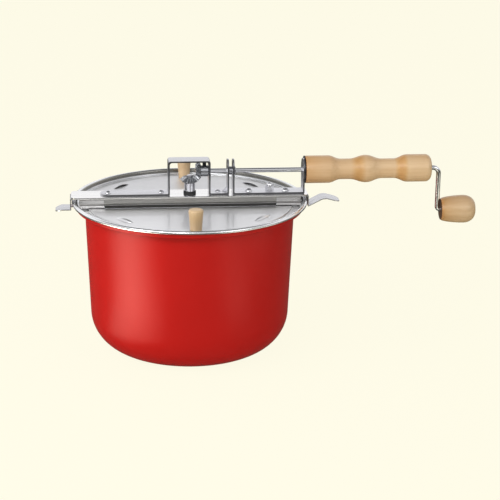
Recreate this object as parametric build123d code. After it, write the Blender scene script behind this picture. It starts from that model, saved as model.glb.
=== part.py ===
from build123d import *
import os
from math import copysign, cos, pi, radians, sin, sqrt, tan

# Stovetop popcorn popper. A deep pan with a rolled lip carries a crossbar. Two half lids hinge on
# wires along the crossbar. A crank rod runs through the wooden handle to a pair of bevel gears,
# which turn a stirrer inside the pan. A clip at each end of the crossbar hooks under the pan's lip.
#
# Frame: millimetres, +Z up, origin on the pan's axis at the underside of its base.
# +X points along the crossbar to the handle and crank, and +Y points to the back half lid.

# ---- overall sizes ----
RIM_D = 241.3                  # pan, across the outside of its lip
LENGTH_FROM_RIM = 419.1        # from the lip's left edge to the end of the crank knob
STRAP_TOP = 165.1              # height of the straps that lie on the crossbar

# ---- pan ----
PAN_WALL = 1.6
PAN_BASE = 2.2
PAN_BODY_IN = 13.05            # wall's outside, just under the ledge, from the lip's outer face
PAN_DRAFT = 2.4                # degrees that the wall leans out
PAN_CORNER_R = 40.0            # outside radius between wall and base
LEDGE_WALL = 1.4
LIP_WALL = 1.4
LIP_W = 5.05                   # from the lip's inner face to its outer face
LIP_HEM_H = 6.0                # height of the lip's outer face
LIP_BELOW_BAR = 4.9            # lip's crown under the crossbar's top face
LIP_EDGE_R = 2.3

# ---- half lids ----
LID_SHEET = 0.7
LID_DROP = 4.85                # lid panel's top under the lip's crown
LID_STEP = 1.2                 # height of the step round the panel
LID_STEP_IN = 9.7              # width of the seat outside the step
LID_PLAY = 1.0                 # gap between the lid's edge and the lip
HINGE_WIRE_D = 2.4
HINGE_RUN = 0.05               # running clearance of a rolled edge on its wire
HINGE_GAP = 0.5                # rolled edge to crossbar flange
LOUVRE_L = 29.0                # length of a pressed steam vent
LOUVRE_H = 3.4                 # rise of its hood over the panel's underside
LOUVRE_IN = 12.5               # vent's middle from the step round the panel
LOUVRE_ANGLE = 42.0            # degrees from the crossbar

# ---- lid knobs ----
LID_KNOB_BASE_D = 12.2
LID_KNOB_TOP_D = 15.0
LID_KNOB_H = 20.8
LID_KNOB_INSET = 16.6          # knob's axis from the lid's outer edge
LID_SCREW_D = 3.0
LID_SCREW_HEAD_D = 7.0
LID_SCREW_HEAD_H = 1.8
LID_SCREW_HEAD_R = 1.2          # rounding of the screw's head
LID_SCREW_DEPTH = 11.0
LID_KNOB_FOOT_R = 0.6
LID_KNOB_EDGE_R = 2.2

# ---- crossbar ----
BAR_W = 30.0
BAR_SHEET = 1.2
BAR_FLANGE_H = 8.0
BAR_END_OVER_RIM = 0.35        # top plate runs this far past the lip
BAR_FLANGE_SHORT = 7.65        # flange ends stay this far inside the rim radius
BAR_CORNER_R = 6.0
BAR_BEND_R = 1.6               # outside bend radius

# ---- hinge keepers at the crossbar's ends ----
KEEPER_L = 25.0
KEEPER_SHEET = 0.8
KEEPER_GAP = 0.7               # keeper to the rolled hinge edge, along the wire
KEEPER_TOP_DROP = 2.0          # keeper's top edge under the crossbar's top face
KEEPER_EYE_WALL = 0.8

# ---- straps: gear bracket and handle bracket ----
STRAP_W = 18.0
STRAP_SHEET = 1.6
STRAP_BEND_R = 1.8             # bend radius on the sheet's middle line
GEAR_TO_ARCH = 0.85            # crank gear's teeth to the arch over them
LEG_LEFT_X = -20.8             # inner face of the arch's left leg
FOOT_PAST_RIVET = 8.0          # left foot's end beyond its outer rivet
EAR1_FROM_LEG = 19.0           # first ear from the right leg
EAR_SPACING = 5.6
EAR_OVER_ROD = 3.4             # middle of the ears' round tops over the rod's axis
UPRIGHT_IN = 4.6               # left face of the handle upright from the lip's outer face
UPRIGHT_DISC_R = 12.0
GUSSET_H = 5.0
GUSSET_T = 2.4

# ---- crank ----
ROD_D = 4.8
ROD_RUN = 0.05                 # radial running clearance of the rod in its bearings
ROD_RISE = 23.2                # rod axis above the crossbar's top face
CRANK_THROW = 45.0
CRANK_BEND_R = 6.0
PIN_BEND_R = 3.4
HANDLE_TO_BEND = 2.8           # straight stretch between the handle and the bend
ROD_START = 5.7                # rod's gear end from the shaft's axis
ROD_COLLAR_WALL = 1.8
ROD_COLLAR_PLAY = 0.3
PUSH_NUT_T = 1.6
PUSH_NUT_EDGE = 0.7            # thickness at its rim

# ---- bevel gears ----
GEAR_TEETH = 16
GEAR_MODULE = 1.15
GEAR_FACE = 4.2                # tooth length along the cone
GEAR_BACKLASH = 0.30
GEAR_TIP_PLAY = 0.12
GEAR_BACK = 1.9                # thickness of the gear's back behind the teeth
CRANK_HUB_D = 11.4
CRANK_HUB_L = 7.8
HUB_PLAY = 0.3                 # hub to bracket leg
SET_SCREW_D = 3.8
SET_SCREW_STAND = 3.2          # height over the hub
SET_SCREW_EDGE = 0.3
SOCKET_R = 1.1                 # hexagon socket in the set screw, to its corners
SOCKET_DEPTH = 1.4
PRESSURE_ANGLE = 20.0          # degrees
TOOTH_SUNK = 1.25              # tooth's foot inside the gear's body, in root depths
GEAR_BACK_EDGE = 0.8

# ---- stirrer ----
SHAFT_D = 6.0
SHAFT_RUN = 0.05
BEARING_WALL = 2.5
BEARING_NECK_WALL = 1.3
BEARING_PLAY = 0.3             # stir gear over the bearing
BEARING_BELOW = 4.6            # neck under the crossbar's top plate
BEARING_NUT_WALL = 2.2         # nut's flats from the bearing's neck
BEARING_NUT_H = 3.0
SEAL_RING_W = 0.9
SEAL_RING_H = 2.6
SHAFT_COLLAR_WALL = 2.5
SHAFT_COLLAR_H = 5.0
STIR_WIRE_D = 3.0
STIR_CLEAR = 0.9               # wire over the pan's base
STIR_HUB_CLEAR = 0.8           # shaft's end over the pan's base
STIR_HUB_RISE = 3.0            # wire at the shaft over its lowest run
STIR_STRAIGHT = 12.0           # straight stretch of the wire from the shaft's axis
STIR_INNER_R = 33.0            # corners of the wire's path, from the shaft's axis
STIR_OUTER_R = 57.0
STIR_INNER_DEG = -34.0         # and the degrees that they trail behind the shaft's cross hole
STIR_OUTER_DEG = -25.5
STIR_TIP_DEG = -8.0
STIR_TIP_RISE = 48.0           # degrees that the wire's end climbs round the pan's corner
STIR_BENDS = (9.0, 12.0, 6.0)  # bend radii from the tip to the shaft
BEARING_EDGE = 0.6
SHAFT_EDGE = 0.5
SHAFT_UNDER_ROD = 4.1          # shaft's top under the rod's axis

# ---- handle ----
HANDLE_END_D = 28.4
HANDLE_WAIST1_D = 21.2
HANDLE_BULGE_D = 28.2
HANDLE_WAIST2_D = 20.3
HANDLE_END_R = 6.0
HANDLE_FRONT_R = 1.0
HANDLE_SECTIONS = (            # share of the handle's length, diameter
    (0.180, HANDLE_END_D), (0.285, HANDLE_WAIST1_D), (0.350, HANDLE_WAIST1_D),
    (0.482, HANDLE_BULGE_D), (0.610, HANDLE_WAIST2_D), (0.700, HANDLE_WAIST2_D),
    (0.815, HANDLE_END_D),
)
HANDLE_EASE = 0.42             # how long each curve stays level at its ends
FERRULE_T = 0.8
TUBE_WALL = 1.15
TUBE_SHORT = 4.0               # tube ends this far inside the handle
TUBE_FLARE_W = 1.4
TUBE_FLARE_T = 1.0

# ---- crank knob ----
KNOB_FACE_D = 22.6
KNOB_MAX_D = 29.0
KNOB_L = 36.5
KNOB_MAX_AT = 24.0             # widest point from the flat face
KNOB_END_R = 9.0
KNOB_NOSE_W = 9.0              # flat across the rounded end
KNOB_PLUG_PLAY = 1.3           # plug's edge outside the push-on nut's
KNOB_PLUG_T = 6.0
KNOB_NUT_ROOM = 4.4
KNOB_FACE_EDGE_R = 0.8
KNOB_SWELL = 0.75              # how early the knob swells behind its face
KNOB_END_EASE = 0.62           # how square its round end is
PIN_SHORT = 0.6                # pin's end to the plug

# ---- rim clips ----
CLIP_SHEET = 1.0
CLIP_W = 20.0
CLIP_GAP = 0.15                # under the crossbar's top plate
CLIP_OUT = 0.6                 # clip to the lip's outer face
CLIP_TRAVEL = 5.0
CLIP_HOOK_W = 9.0
CLIP_HOOK_GAP = 0.3            # hook under the lip
CLIP_HOOK_REACH = 1.9          # hook's reach under the lip
CLIP_BEND_R = 1.3
CLIP_END_MARGIN = 4.0
LEFT_TAB_L = 16.6              # finger tabs, measured out from the lip
LEFT_TAB_DROP = 4.4            # tip under the lip's hem
RIGHT_TAB_L = 34.0
RIGHT_TAB_RISE = 6.0           # its knee over the lip's hem
RIGHT_TIP_RISE = 1.5
LEFT_KNEE_OUT = 10.0           # knees of the tabs, measured out from the lip
RIGHT_KNEE_OUT = 17.7
LEFT_KNEE_RISE = 0.15          # left knee over the clip's foot
LEFT_TAB_BEND_R = 6.0
RIGHT_TAB_BEND_R = 12.0
TAB_TIP_R = 6.5

# ---- rivets ----
RIVET_SHANK_D = 3.8
CLIP_RIVET_IN = (37.15, 22.05)  # left and right clip rivet from the lip's outer face
CLIP_RIVET_HEAD_D = (7.0, 9.0)
LEG_RIVET_GAP = (8.7, 8.1)     # left and right rivet from the arch's legs
LEG_RIVET_HEAD_D = (6.8, 5.8)
NUT_FROM_CLIP_RIVET = 16.3
FOOT_RIVET_FROM_NUT = 21.3
FOOT_RIVET_HEAD_D = 9.0
RIVET_HEAD_RISE = 0.32         # head height as a share of its diameter
RIVET_FOOT_W = 1.3             # foot's edge round the shank
RIVET_FOOT_T = 1.1
NUT_WALL = 1.8                 # cap nut's flats from the stud
NUT_H = 5.2
NUT_DOME_H = 3.6
NUT_DOME_IN = 0.2              # dome's edge inside the nut's flats
STUD_D = 4.0

# ---- sizes that follow ----
RIM_R = RIM_D / 2
PAN_BODY_R = RIM_R - PAN_BODY_IN
BAR_TOP = STRAP_TOP - STRAP_SHEET
BAR_UNDER = BAR_TOP - BAR_SHEET
LIP_TOP = BAR_TOP - LIP_BELOW_BAR
LIP_HEM_Z = LIP_TOP - LIP_HEM_H
LIP_IN_R = RIM_R - LIP_W
PANEL_TOP = LIP_TOP - LID_DROP
PANEL_UNDER = PANEL_TOP - LID_SHEET
LEDGE_Z = PANEL_UNDER - LID_STEP
LID_R = LIP_IN_R - LID_PLAY
LID_STEP_R = LID_R - LID_STEP_IN
LOUVRE_R = LID_STEP_R - LOUVRE_IN
WIRE_R = HINGE_WIRE_D / 2
ROLL_IN_R = WIRE_R + HINGE_RUN
ROLL_R = ROLL_IN_R + LID_SHEET
HINGE_Z = PANEL_UNDER + ROLL_R
FLANGE_Z = BAR_TOP - BAR_FLANGE_H
HINGE_Y = BAR_W / 2 + sqrt((ROLL_R + HINGE_GAP) ** 2 - max(0.0, FLANGE_Z - HINGE_Z) ** 2)
KEEPER_OUT_X = RIM_R - BAR_FLANGE_SHORT
KEEPER_IN_X = KEEPER_OUT_X - KEEPER_L
HINGE_ROLL_HALF = KEEPER_IN_X - KEEPER_GAP
KEEPER_EYE_R = WIRE_R + KEEPER_EYE_WALL
BAR_END = RIM_R + BAR_END_OVER_RIM
ROD_R = ROD_D / 2
ROD_Z = BAR_TOP + ROD_RISE
BEARING_HOLE_R = ROD_R + ROD_RUN
ROD_COLLAR_R = ROD_R + ROD_COLLAR_WALL
TUBE_R = BEARING_HOLE_R + TUBE_WALL
TUBE_FLARE_R = TUBE_R + TUBE_FLARE_W
GEAR_R = GEAR_MODULE * GEAR_TEETH / 2
GEAR_TIP_R = GEAR_R + GEAR_MODULE / sqrt(2)
GEAR_BACK_AT = GEAR_R + GEAR_BACK
ARCH_TOP = ROD_Z + GEAR_TIP_R + GEAR_TO_ARCH + STRAP_SHEET
LEG_RIGHT_X = GEAR_BACK_AT + CRANK_HUB_L + HUB_PLAY
EAR1_X = LEG_RIGHT_X + EAR1_FROM_LEG
EAR2_X = EAR1_X + EAR_SPACING
EAR_Z = ROD_Z + EAR_OVER_ROD
UPRIGHT_X = RIM_R - UPRIGHT_IN
FERRULE_X = UPRIGHT_X + STRAP_SHEET
HANDLE_X = FERRULE_X + FERRULE_T
KNOB_END_X = LENGTH_FROM_RIM - RIM_R
KNOB_X = KNOB_END_X - KNOB_L
ARM_X = KNOB_X - PIN_BEND_R
HANDLE_END_X = ARM_X - CRANK_BEND_R - HANDLE_TO_BEND
HANDLE_L = HANDLE_END_X - HANDLE_X
KNOB_Z = ROD_Z - CRANK_THROW
KNOB_PLUG_R = ROD_COLLAR_R + KNOB_PLUG_PLAY
CLIP_RIVET_X = (CLIP_RIVET_IN[0] - RIM_R, RIM_R - CLIP_RIVET_IN[1])
FOOT_LEFT_END = CLIP_RIVET_X[0] - FOOT_PAST_RIVET
NUT_X = CLIP_RIVET_X[1] - NUT_FROM_CLIP_RIVET
NUT_AF = STUD_D + 2 * NUT_WALL
RIVET_FOOT_R = RIVET_SHANK_D / 2 + RIVET_FOOT_W
SHAFT_R = SHAFT_D / 2
BEARING_R = SHAFT_R + BEARING_WALL
BEARING_NECK_R = SHAFT_R + BEARING_NECK_WALL
BEARING_TOP = ROD_Z - GEAR_BACK_AT - BEARING_PLAY
BEARING_FOOT = BAR_UNDER - BEARING_BELOW
LID_KNOB_Y = LID_R - LID_KNOB_INSET


def side(x, y, z):
    """A place as a Location."""
    return Location((x, y, z))


def along_x(radius, x0, x1, y=0.0, z=0.0):
    """A round bar along X from x0 to x1."""
    disc = Plane(origin=(x0, y, z), x_dir=(0, 1, 0), z_dir=(1, 0, 0)) * Circle(radius)
    return extrude(disc, x1 - x0)


def upright_bar(radius, z0, z1, x=0.0, y=0.0):
    """A round bar along Z from z0 to z1."""
    return extrude(side(x, y, z0) * Circle(radius), z1 - z0)


def block(x0, x1, y0, y1, z0, z1):
    """A block from its lowest to its highest corner."""
    size = (x1 - x0, y1 - y0, z1 - z0)
    return side((x0 + x1) / 2, (y0 + y1) / 2, (z0 + z1) / 2) * Box(*size)


def outline(points, rounds=()):
    """A closed outline in two coordinates; rounds gives (corner number, radius)."""
    face = make_face(Polyline(*points, close=True))
    for number, radius in rounds:
        corner = face.vertices().sort_by_distance(Vector(*points[number]))[0]
        face = fillet(corner, radius)
    return face


def turned(points, rounds=()):
    """A solid turned about Z from an outline of (radius, height)."""
    return revolve(Plane.XZ * outline(points, rounds), Axis.Z)


def bent_path(points, bends, shift):
    """The middle line of a bent sheet moved sideways by shift, with its radius at each bend."""
    starts, ways = [], []
    for (x0, z0), (x1, z1) in zip(points, points[1:]):
        run = sqrt((x1 - x0) ** 2 + (z1 - z0) ** 2)
        dx, dz = (x1 - x0) / run, (z1 - z0) / run
        starts.append((x0 - dz * shift, z0 + dx * shift))
        ways.append((dx, dz))
    moved, radii = [starts[0]], []
    for number, bend in enumerate(bends):
        (px, pz), (dx, dz) = starts[number], ways[number]
        (qx, qz), (ex, ez) = starts[number + 1], ways[number + 1]
        turn = dx * ez - dz * ex
        reach = ((qx - px) * ez - (qz - pz) * ex) / turn
        moved.append((px + dx * reach, pz + dz * reach))
        radii.append(bend - copysign(shift, turn))
    (dx, dz), (x, z) = ways[-1], points[-1]
    moved.append((x - dz * shift, z + dx * shift))
    return moved, radii


def bent_strip(points, bends, sheet, width):
    """A sheet strip bent along points of (x, z), centred on y = 0."""
    left, left_r = bent_path(points, bends, sheet / 2)
    right, right_r = bent_path(points, bends, -sheet / 2)
    one = FilletPolyline(*left, radius=left_r)
    two = FilletPolyline(*right, radius=right_r)
    ends = [Line(left[0], right[0]), Line(left[-1], right[-1])]
    face = make_face([*one.edges(), *two.edges(), *[end.edge() for end in ends]])
    return extrude(Plane.XZ * face, width / 2, both=True)


# ---- pan ----
def make_pan():
    """The pan: one pressed shell with a ledge for the lids and a rolled lip."""
    base_r = PAN_BODY_R - LEDGE_Z * tan(radians(PAN_DRAFT))
    inner_top = PAN_BODY_R - PAN_WALL
    inner_base = base_r - PAN_WALL + PAN_BASE * tan(radians(PAN_DRAFT))
    lip_mid = LIP_IN_R + LIP_WALL
    hem_in = RIM_R - LIP_WALL
    points = [
        (0, 0), (base_r, 0),
        (PAN_BODY_R, LEDGE_Z - LEDGE_WALL), (lip_mid, LEDGE_Z - LEDGE_WALL),
        (lip_mid, LIP_TOP - LIP_WALL), (hem_in, LIP_TOP - LIP_WALL),
        (hem_in, LIP_HEM_Z), (RIM_R, LIP_HEM_Z),
        (RIM_R, LIP_TOP), (LIP_IN_R, LIP_TOP),
        (LIP_IN_R, LEDGE_Z), (inner_top, LEDGE_Z),
        (inner_base, PAN_BASE), (0, PAN_BASE),
    ]
    rounds = [
        (1, PAN_CORNER_R), (12, PAN_CORNER_R - PAN_BASE), (8, LIP_EDGE_R), (9, LIP_EDGE_R),
    ]
    return turned(points, rounds)


# ---- half lids ----
def louvre(centre_angle):
    """The hood and the opening of one pressed vent; its mouth looks to the pan's axis."""
    half = LOUVRE_L / 2

    def lemon(rise, reach):
        arc = ThreePointArc((-reach, 0), (0, rise), (reach, 0))
        chord = Line((-reach, 0), (reach, 0))
        return revolve(make_face([arc.edge(), chord.edge()]), Axis.X)

    inner_rise = LOUVRE_H - LID_SHEET
    inner_half = half - 2 * LID_SHEET
    outward = block(-half, half, 0, LOUVRE_H, 0, LOUVRE_H)
    through = block(-half, half, 0, LOUVRE_H, -LID_SHEET, LOUVRE_H)
    place = Rotation(0, 0, centre_angle) * Location((LOUVRE_R, 0, PANEL_UNDER))
    place = place * Rotation(0, 0, -90)
    hood = place * (lemon(LOUVRE_H, half) & outward)
    room = place * (lemon(inner_rise, inner_half) & through)
    return hood, room


def make_half_lid(y_side):
    """A half lid: stepped half disc, rolled round its hinge wire, with two vents."""
    step_in = LID_STEP_R
    points = [
        (0, PANEL_UNDER), (step_in, PANEL_UNDER), (step_in, LEDGE_Z), (LID_R, LEDGE_Z),
        (LID_R, LEDGE_Z + LID_SHEET), (step_in + LID_SHEET, LEDGE_Z + LID_SHEET),
        (step_in + LID_SHEET, PANEL_TOP), (0, PANEL_TOP),
    ]
    sheet = turned(points, [(6, LID_SHEET)])
    far = LID_R + 1
    keep = block(-HINGE_ROLL_HALF, HINGE_ROLL_HALF, HINGE_Y, far, 0, LIP_TOP)
    notch_y = HINGE_Y + KEEPER_EYE_R + KEEPER_GAP
    keep = keep + block(-far, far, notch_y, far, 0, LIP_TOP)
    sheet = sheet & keep
    for angle in (LOUVRE_ANGLE, 180 - LOUVRE_ANGLE):
        hood, room = louvre(angle)
        sheet = (sheet + hood) - room
    roll = along_x(ROLL_R, -HINGE_ROLL_HALF, HINGE_ROLL_HALF, HINGE_Y, HINGE_Z)
    sheet = sheet + roll
    sheet = sheet - along_x(ROLL_IN_R, -LID_R, LID_R, HINGE_Y, HINGE_Z)
    sheet = sheet - upright_bar(LID_SCREW_D / 2, LEDGE_Z, LIP_TOP, 0, LID_KNOB_Y)
    return sheet if y_side > 0 else mirror(sheet, Plane.XZ)


def make_hinge_wire(y_side):
    """The wire that a half lid turns on; its ends lie in the keepers' eyes."""
    return along_x(WIRE_R, -KEEPER_OUT_X, KEEPER_OUT_X, y_side * HINGE_Y, HINGE_Z)


def make_lid_knob(y_side):
    """A small turned knob, wider at its top."""
    base, top = LID_KNOB_BASE_D / 2, LID_KNOB_TOP_D / 2
    points = [(0, 0), (base, 0), (top, LID_KNOB_H), (0, LID_KNOB_H)]
    knob = turned(points, [(1, LID_KNOB_FOOT_R), (2, LID_KNOB_EDGE_R)])
    knob = knob - upright_bar(LID_SCREW_D / 2, 0, LID_SCREW_DEPTH)
    return side(0, y_side * LID_KNOB_Y, PANEL_TOP) * knob


def make_lid_screw(y_side):
    """The screw that holds a lid knob from below."""
    head = LID_SCREW_HEAD_D / 2
    points = [
        (0, -LID_SCREW_HEAD_H), (head, -LID_SCREW_HEAD_H), (head, 0), (LID_SCREW_D / 2, 0),
        (LID_SCREW_D / 2, LID_SHEET + LID_SCREW_DEPTH), (0, LID_SHEET + LID_SCREW_DEPTH),
    ]
    return side(0, y_side * LID_KNOB_Y, PANEL_UNDER) * turned(points, [(1, LID_SCREW_HEAD_R)])


# ---- crossbar and keepers ----
def make_crossbar():
    """An inverted channel; its top plate runs out over the lip at both ends."""
    half = BAR_W / 2
    section = [
        (-half, FLANGE_Z), (-half, BAR_TOP), (half, BAR_TOP), (half, FLANGE_Z),
        (half - BAR_SHEET, FLANGE_Z), (half - BAR_SHEET, BAR_UNDER),
        (BAR_SHEET - half, BAR_UNDER), (BAR_SHEET - half, FLANGE_Z),
    ]
    inner_r = BAR_BEND_R - BAR_SHEET
    face = outline(section, [(1, BAR_BEND_R), (2, BAR_BEND_R), (5, inner_r), (6, inner_r)])
    bar = extrude(Plane.YZ * face, BAR_END, both=True)
    plate = extrude(RectangleRounded(2 * BAR_END, BAR_W, BAR_CORNER_R), BAR_TOP)
    bar = bar & plate
    for end in (-1, 1):
        x0, x1 = sorted((end * KEEPER_OUT_X, end * (BAR_END + 1)))
        bar = bar - block(x0, x1, -BAR_W, BAR_W, 0, BAR_UNDER)
    bar = bar - upright_bar(BEARING_NECK_R, 0, STRAP_TOP)
    for x in rivet_places():
        bar = bar - upright_bar(RIVET_SHANK_D / 2, 0, STRAP_TOP, x)
    return bar - upright_bar(STUD_D / 2, 0, STRAP_TOP, NUT_X)


def make_hinge_keepers():
    """Four folded plates that stand on the pan's ledge and hold the hinge wires' ends."""
    length = KEEPER_OUT_X - KEEPER_IN_X
    low, high = BAR_W / 2, BAR_W / 2 + KEEPER_SHEET
    top = BAR_TOP - KEEPER_TOP_DROP
    solids = []
    for x_side in (-1, 1):
        for y_side in (-1, 1):
            x0, x1 = sorted((x_side * KEEPER_IN_X, x_side * KEEPER_OUT_X))
            y0, y1 = sorted((y_side * low, y_side * high))
            plate = block(x0, x1, y0, y1, LEDGE_Z, top)
            eye = along_x(KEEPER_EYE_R, x0, x0 + length, y_side * HINGE_Y, HINGE_Z)
            keeper = plate + eye
            hole = along_x(WIRE_R, x0, x0 + length, y_side * HINGE_Y, HINGE_Z)
            solids.append(keeper - hole)
    return solids


# ---- straps ----
def strap_rivets():
    """Place along the crossbar and head diameter of each rivet that only holds a strap."""
    return [
        (LEG_LEFT_X - LEG_RIVET_GAP[0], LEG_RIVET_HEAD_D[0]),
        (LEG_RIGHT_X + STRAP_SHEET + LEG_RIVET_GAP[1], LEG_RIVET_HEAD_D[1]),
        (NUT_X - FOOT_RIVET_FROM_NUT, FOOT_RIVET_HEAD_D),
    ]


def rivet_places():
    """Where every rivet stands along the crossbar."""
    return [x for x, _ in strap_rivets()] + list(CLIP_RIVET_X)


def drill_straps(strap):
    """Rivet and stud holes through a strap on the crossbar."""
    for x in rivet_places():
        strap = strap - upright_bar(RIVET_SHANK_D / 2, BAR_UNDER, STRAP_TOP + 1, x)
    return strap - upright_bar(STUD_D / 2, BAR_UNDER, STRAP_TOP + 1, NUT_X)


def make_gear_bracket():
    """One strap: left foot, arch over the gears, middle foot and the first ear."""
    mid = STRAP_SHEET / 2
    foot_z = BAR_TOP + mid
    top_z = ARCH_TOP - mid
    left, right = LEG_LEFT_X - mid, LEG_RIGHT_X + mid
    ear = EAR1_X + mid
    points = [
        (FOOT_LEFT_END, foot_z), (left, foot_z), (left, top_z), (right, top_z),
        (right, foot_z), (ear, foot_z), (ear, EAR_Z),
    ]
    strap = bent_strip(points, [STRAP_BEND_R] * 5, STRAP_SHEET, STRAP_W)
    end_x = FOOT_LEFT_END + STRAP_W / 2
    square_end = block(FOOT_LEFT_END - 1, end_x, -STRAP_W, STRAP_W, BAR_TOP, STRAP_TOP)
    strap = (strap - square_end) + upright_bar(STRAP_W / 2, BAR_TOP, STRAP_TOP, end_x)
    strap = strap + along_x(STRAP_W / 2, EAR1_X, EAR1_X + STRAP_SHEET, 0, EAR_Z)
    corner = Plane(origin=(EAR1_X, 0, STRAP_TOP), x_dir=(1, 0, 0), z_dir=(0, -1, 0))
    rib = corner * outline([(0, 0), (-GUSSET_H, 0), (0, GUSSET_H)])
    strap = strap + extrude(rib, GUSSET_T / 2, both=True)
    strap = strap - along_x(BEARING_HOLE_R, LEG_RIGHT_X - 1, EAR2_X, 0, ROD_Z)
    return drill_straps(strap)


def make_handle_bracket():
    """The second ear, a long foot and the upright that carries the handle."""
    mid = STRAP_SHEET / 2
    foot_z = BAR_TOP + mid
    ear, upright = EAR2_X + mid, UPRIGHT_X + mid
    points = [(ear, EAR_Z), (ear, foot_z), (upright, foot_z), (upright, ROD_Z)]
    strap = bent_strip(points, [STRAP_BEND_R] * 2, STRAP_SHEET, STRAP_W)
    strap = strap + along_x(STRAP_W / 2, EAR2_X, EAR2_X + STRAP_SHEET, 0, EAR_Z)
    strap = strap + along_x(UPRIGHT_DISC_R, UPRIGHT_X, FERRULE_X, 0, ROD_Z)
    strap = strap - along_x(BEARING_HOLE_R, EAR2_X - 1, EAR2_X + STRAP_SHEET + 1, 0, ROD_Z)
    strap = strap - along_x(TUBE_R, UPRIGHT_X - 1, FERRULE_X + 1, 0, ROD_Z)
    return drill_straps(strap)


def dome(diameter, rise):
    """A round head that stands on z = 0: the cap of a ball."""
    radius = diameter / 2
    ball_r = (radius ** 2 + rise ** 2) / (2 * rise)
    cap = side(0, 0, rise - ball_r) * Sphere(ball_r)
    return cap & upright_bar(radius + 1, 0, rise + 1)


def make_rivet(x, head_d, foot_top):
    """A rivet: domed head on the strap, shank, and a flat foot whose top is at foot_top."""
    shank = upright_bar(RIVET_SHANK_D / 2, foot_top, STRAP_TOP, x)
    head = side(x, 0, STRAP_TOP) * dome(head_d, head_d * RIVET_HEAD_RISE)
    foot = upright_bar(RIVET_FOOT_R, foot_top - RIVET_FOOT_T, foot_top, x)
    return head + shank + foot


def make_strap_rivets():
    """The rivets that hold both straps to the crossbar."""
    return [make_rivet(x, head, BAR_UNDER) for x, head in strap_rivets()]


def make_clip_rivets():
    """Shouldered rivets that the clips slide along."""
    under_clip = BAR_UNDER - CLIP_GAP - CLIP_SHEET - CLIP_GAP
    return [make_rivet(x, head, under_clip) for x, head in zip(CLIP_RIVET_X, CLIP_RIVET_HEAD_D)]


def make_stud():
    """The stud under the cap nut, with its flat head inside the crossbar."""
    shank = upright_bar(STUD_D / 2, BAR_UNDER, STRAP_TOP + NUT_H, NUT_X)
    return shank + upright_bar(RIVET_FOOT_R, BAR_UNDER - RIVET_FOOT_T, BAR_UNDER, NUT_X)


def make_cap_nut():
    """A hexagon cap nut on the handle bracket."""
    across = NUT_AF / sqrt(3)
    body = extrude(side(NUT_X, 0, STRAP_TOP) * RegularPolygon(across, 6), NUT_H)
    cap = side(NUT_X, 0, STRAP_TOP + NUT_H) * dome(NUT_AF - 2 * NUT_DOME_IN, NUT_DOME_H)
    return (body + cap) - upright_bar(STUD_D / 2, BAR_UNDER, STRAP_TOP + NUT_H, NUT_X)


# ---- bevel gears ----
def bevel_gear():
    """A straight bevel gear about +X, cone apex at the origin, teeth towards the apex.

    Each tooth is a ruled block between a big and a small trapezium, both square to the cone.
    """
    pitch = pi * GEAR_MODULE
    tip = GEAR_MODULE - GEAR_TIP_PLAY
    root = GEAR_MODULE + GEAR_TIP_PLAY
    flank = tan(radians(PRESSURE_ANGLE))
    mid_half = (pitch / 2 - GEAR_BACKLASH) / 2
    cone = GEAR_R * sqrt(2)
    small = (cone - GEAR_FACE) / cone

    def tooth_end(scale):
        at = GEAR_R * scale
        plane = Plane(origin=(at, 0, at), x_dir=(0, 1, 0), z_dir=(1, 0, 1))
        up = plane.y_dir.X < 0
        tip_y, root_y = (tip, -root) if up else (-tip, root)
        sunk = root_y * TOOTH_SUNK
        points = [
            (-(mid_half - tip * flank) * scale, tip_y * scale),
            ((mid_half - tip * flank) * scale, tip_y * scale),
            ((mid_half + root * flank) * scale, sunk * scale),
            (-(mid_half + root * flank) * scale, sunk * scale),
        ]
        return plane * make_face(Polyline(*points, close=True))

    tooth = loft([tooth_end(small), tooth_end(1.0)])
    drop = root / sqrt(2)
    big_x, big_r = GEAR_R + drop, GEAR_R - drop
    small_x, small_r = GEAR_R * small + drop * small, (GEAR_R - drop) * small
    points = [
        (0, small_x), (small_r, small_x), (big_r, big_x), (big_r, GEAR_BACK_AT - GEAR_BACK_EDGE),
        (big_r - GEAR_BACK_EDGE, GEAR_BACK_AT), (0, GEAR_BACK_AT),
    ]
    gear = Rotation(0, 90, 0) * turned(points)
    for number in range(GEAR_TEETH):
        gear = gear + Rotation(number * 360 / GEAR_TEETH, 0, 0) * tooth
    return gear


def make_crank_gear():
    """The gear on the crank rod, with its hub and the hole for the set screw."""
    gear = Rotation(180, 0, 0) * bevel_gear()
    hub_end = LEG_RIGHT_X - HUB_PLAY
    gear = gear + along_x(CRANK_HUB_D / 2, GEAR_BACK_AT, hub_end)
    gear = gear - along_x(ROD_R, 0, hub_end + 1)
    gear = side(0, 0, ROD_Z) * gear
    return gear - upright_bar(SET_SCREW_D / 2, ROD_Z, ROD_Z + CRANK_HUB_D, set_screw_x())


def set_screw_x():
    """The set screw stands in the middle of the hub."""
    return (GEAR_BACK_AT + LEG_RIGHT_X - HUB_PLAY) / 2


def make_set_screw():
    """A set screw with a hexagon socket in its top."""
    top = ROD_Z + CRANK_HUB_D / 2 + SET_SCREW_STAND
    screw = upright_bar(SET_SCREW_D / 2, ROD_Z + ROD_R, top, set_screw_x())
    rim = screw.edges().group_by(Axis.Z)[-1]
    screw = chamfer(rim, SET_SCREW_EDGE)
    hexagon = side(set_screw_x(), 0, top - SOCKET_DEPTH) * RegularPolygon(SOCKET_R, 6)
    return screw - extrude(hexagon, 2 * SOCKET_DEPTH)


def make_stir_gear():
    """The gear on the stirrer; a gap between two teeth faces the crank gear."""
    gear = Rotation(0, 0, 180 / GEAR_TEETH) * (Rotation(0, 90, 0) * bevel_gear())
    gear = side(0, 0, ROD_Z) * gear
    return gear - upright_bar(SHAFT_R, 0, ROD_Z)


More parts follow.
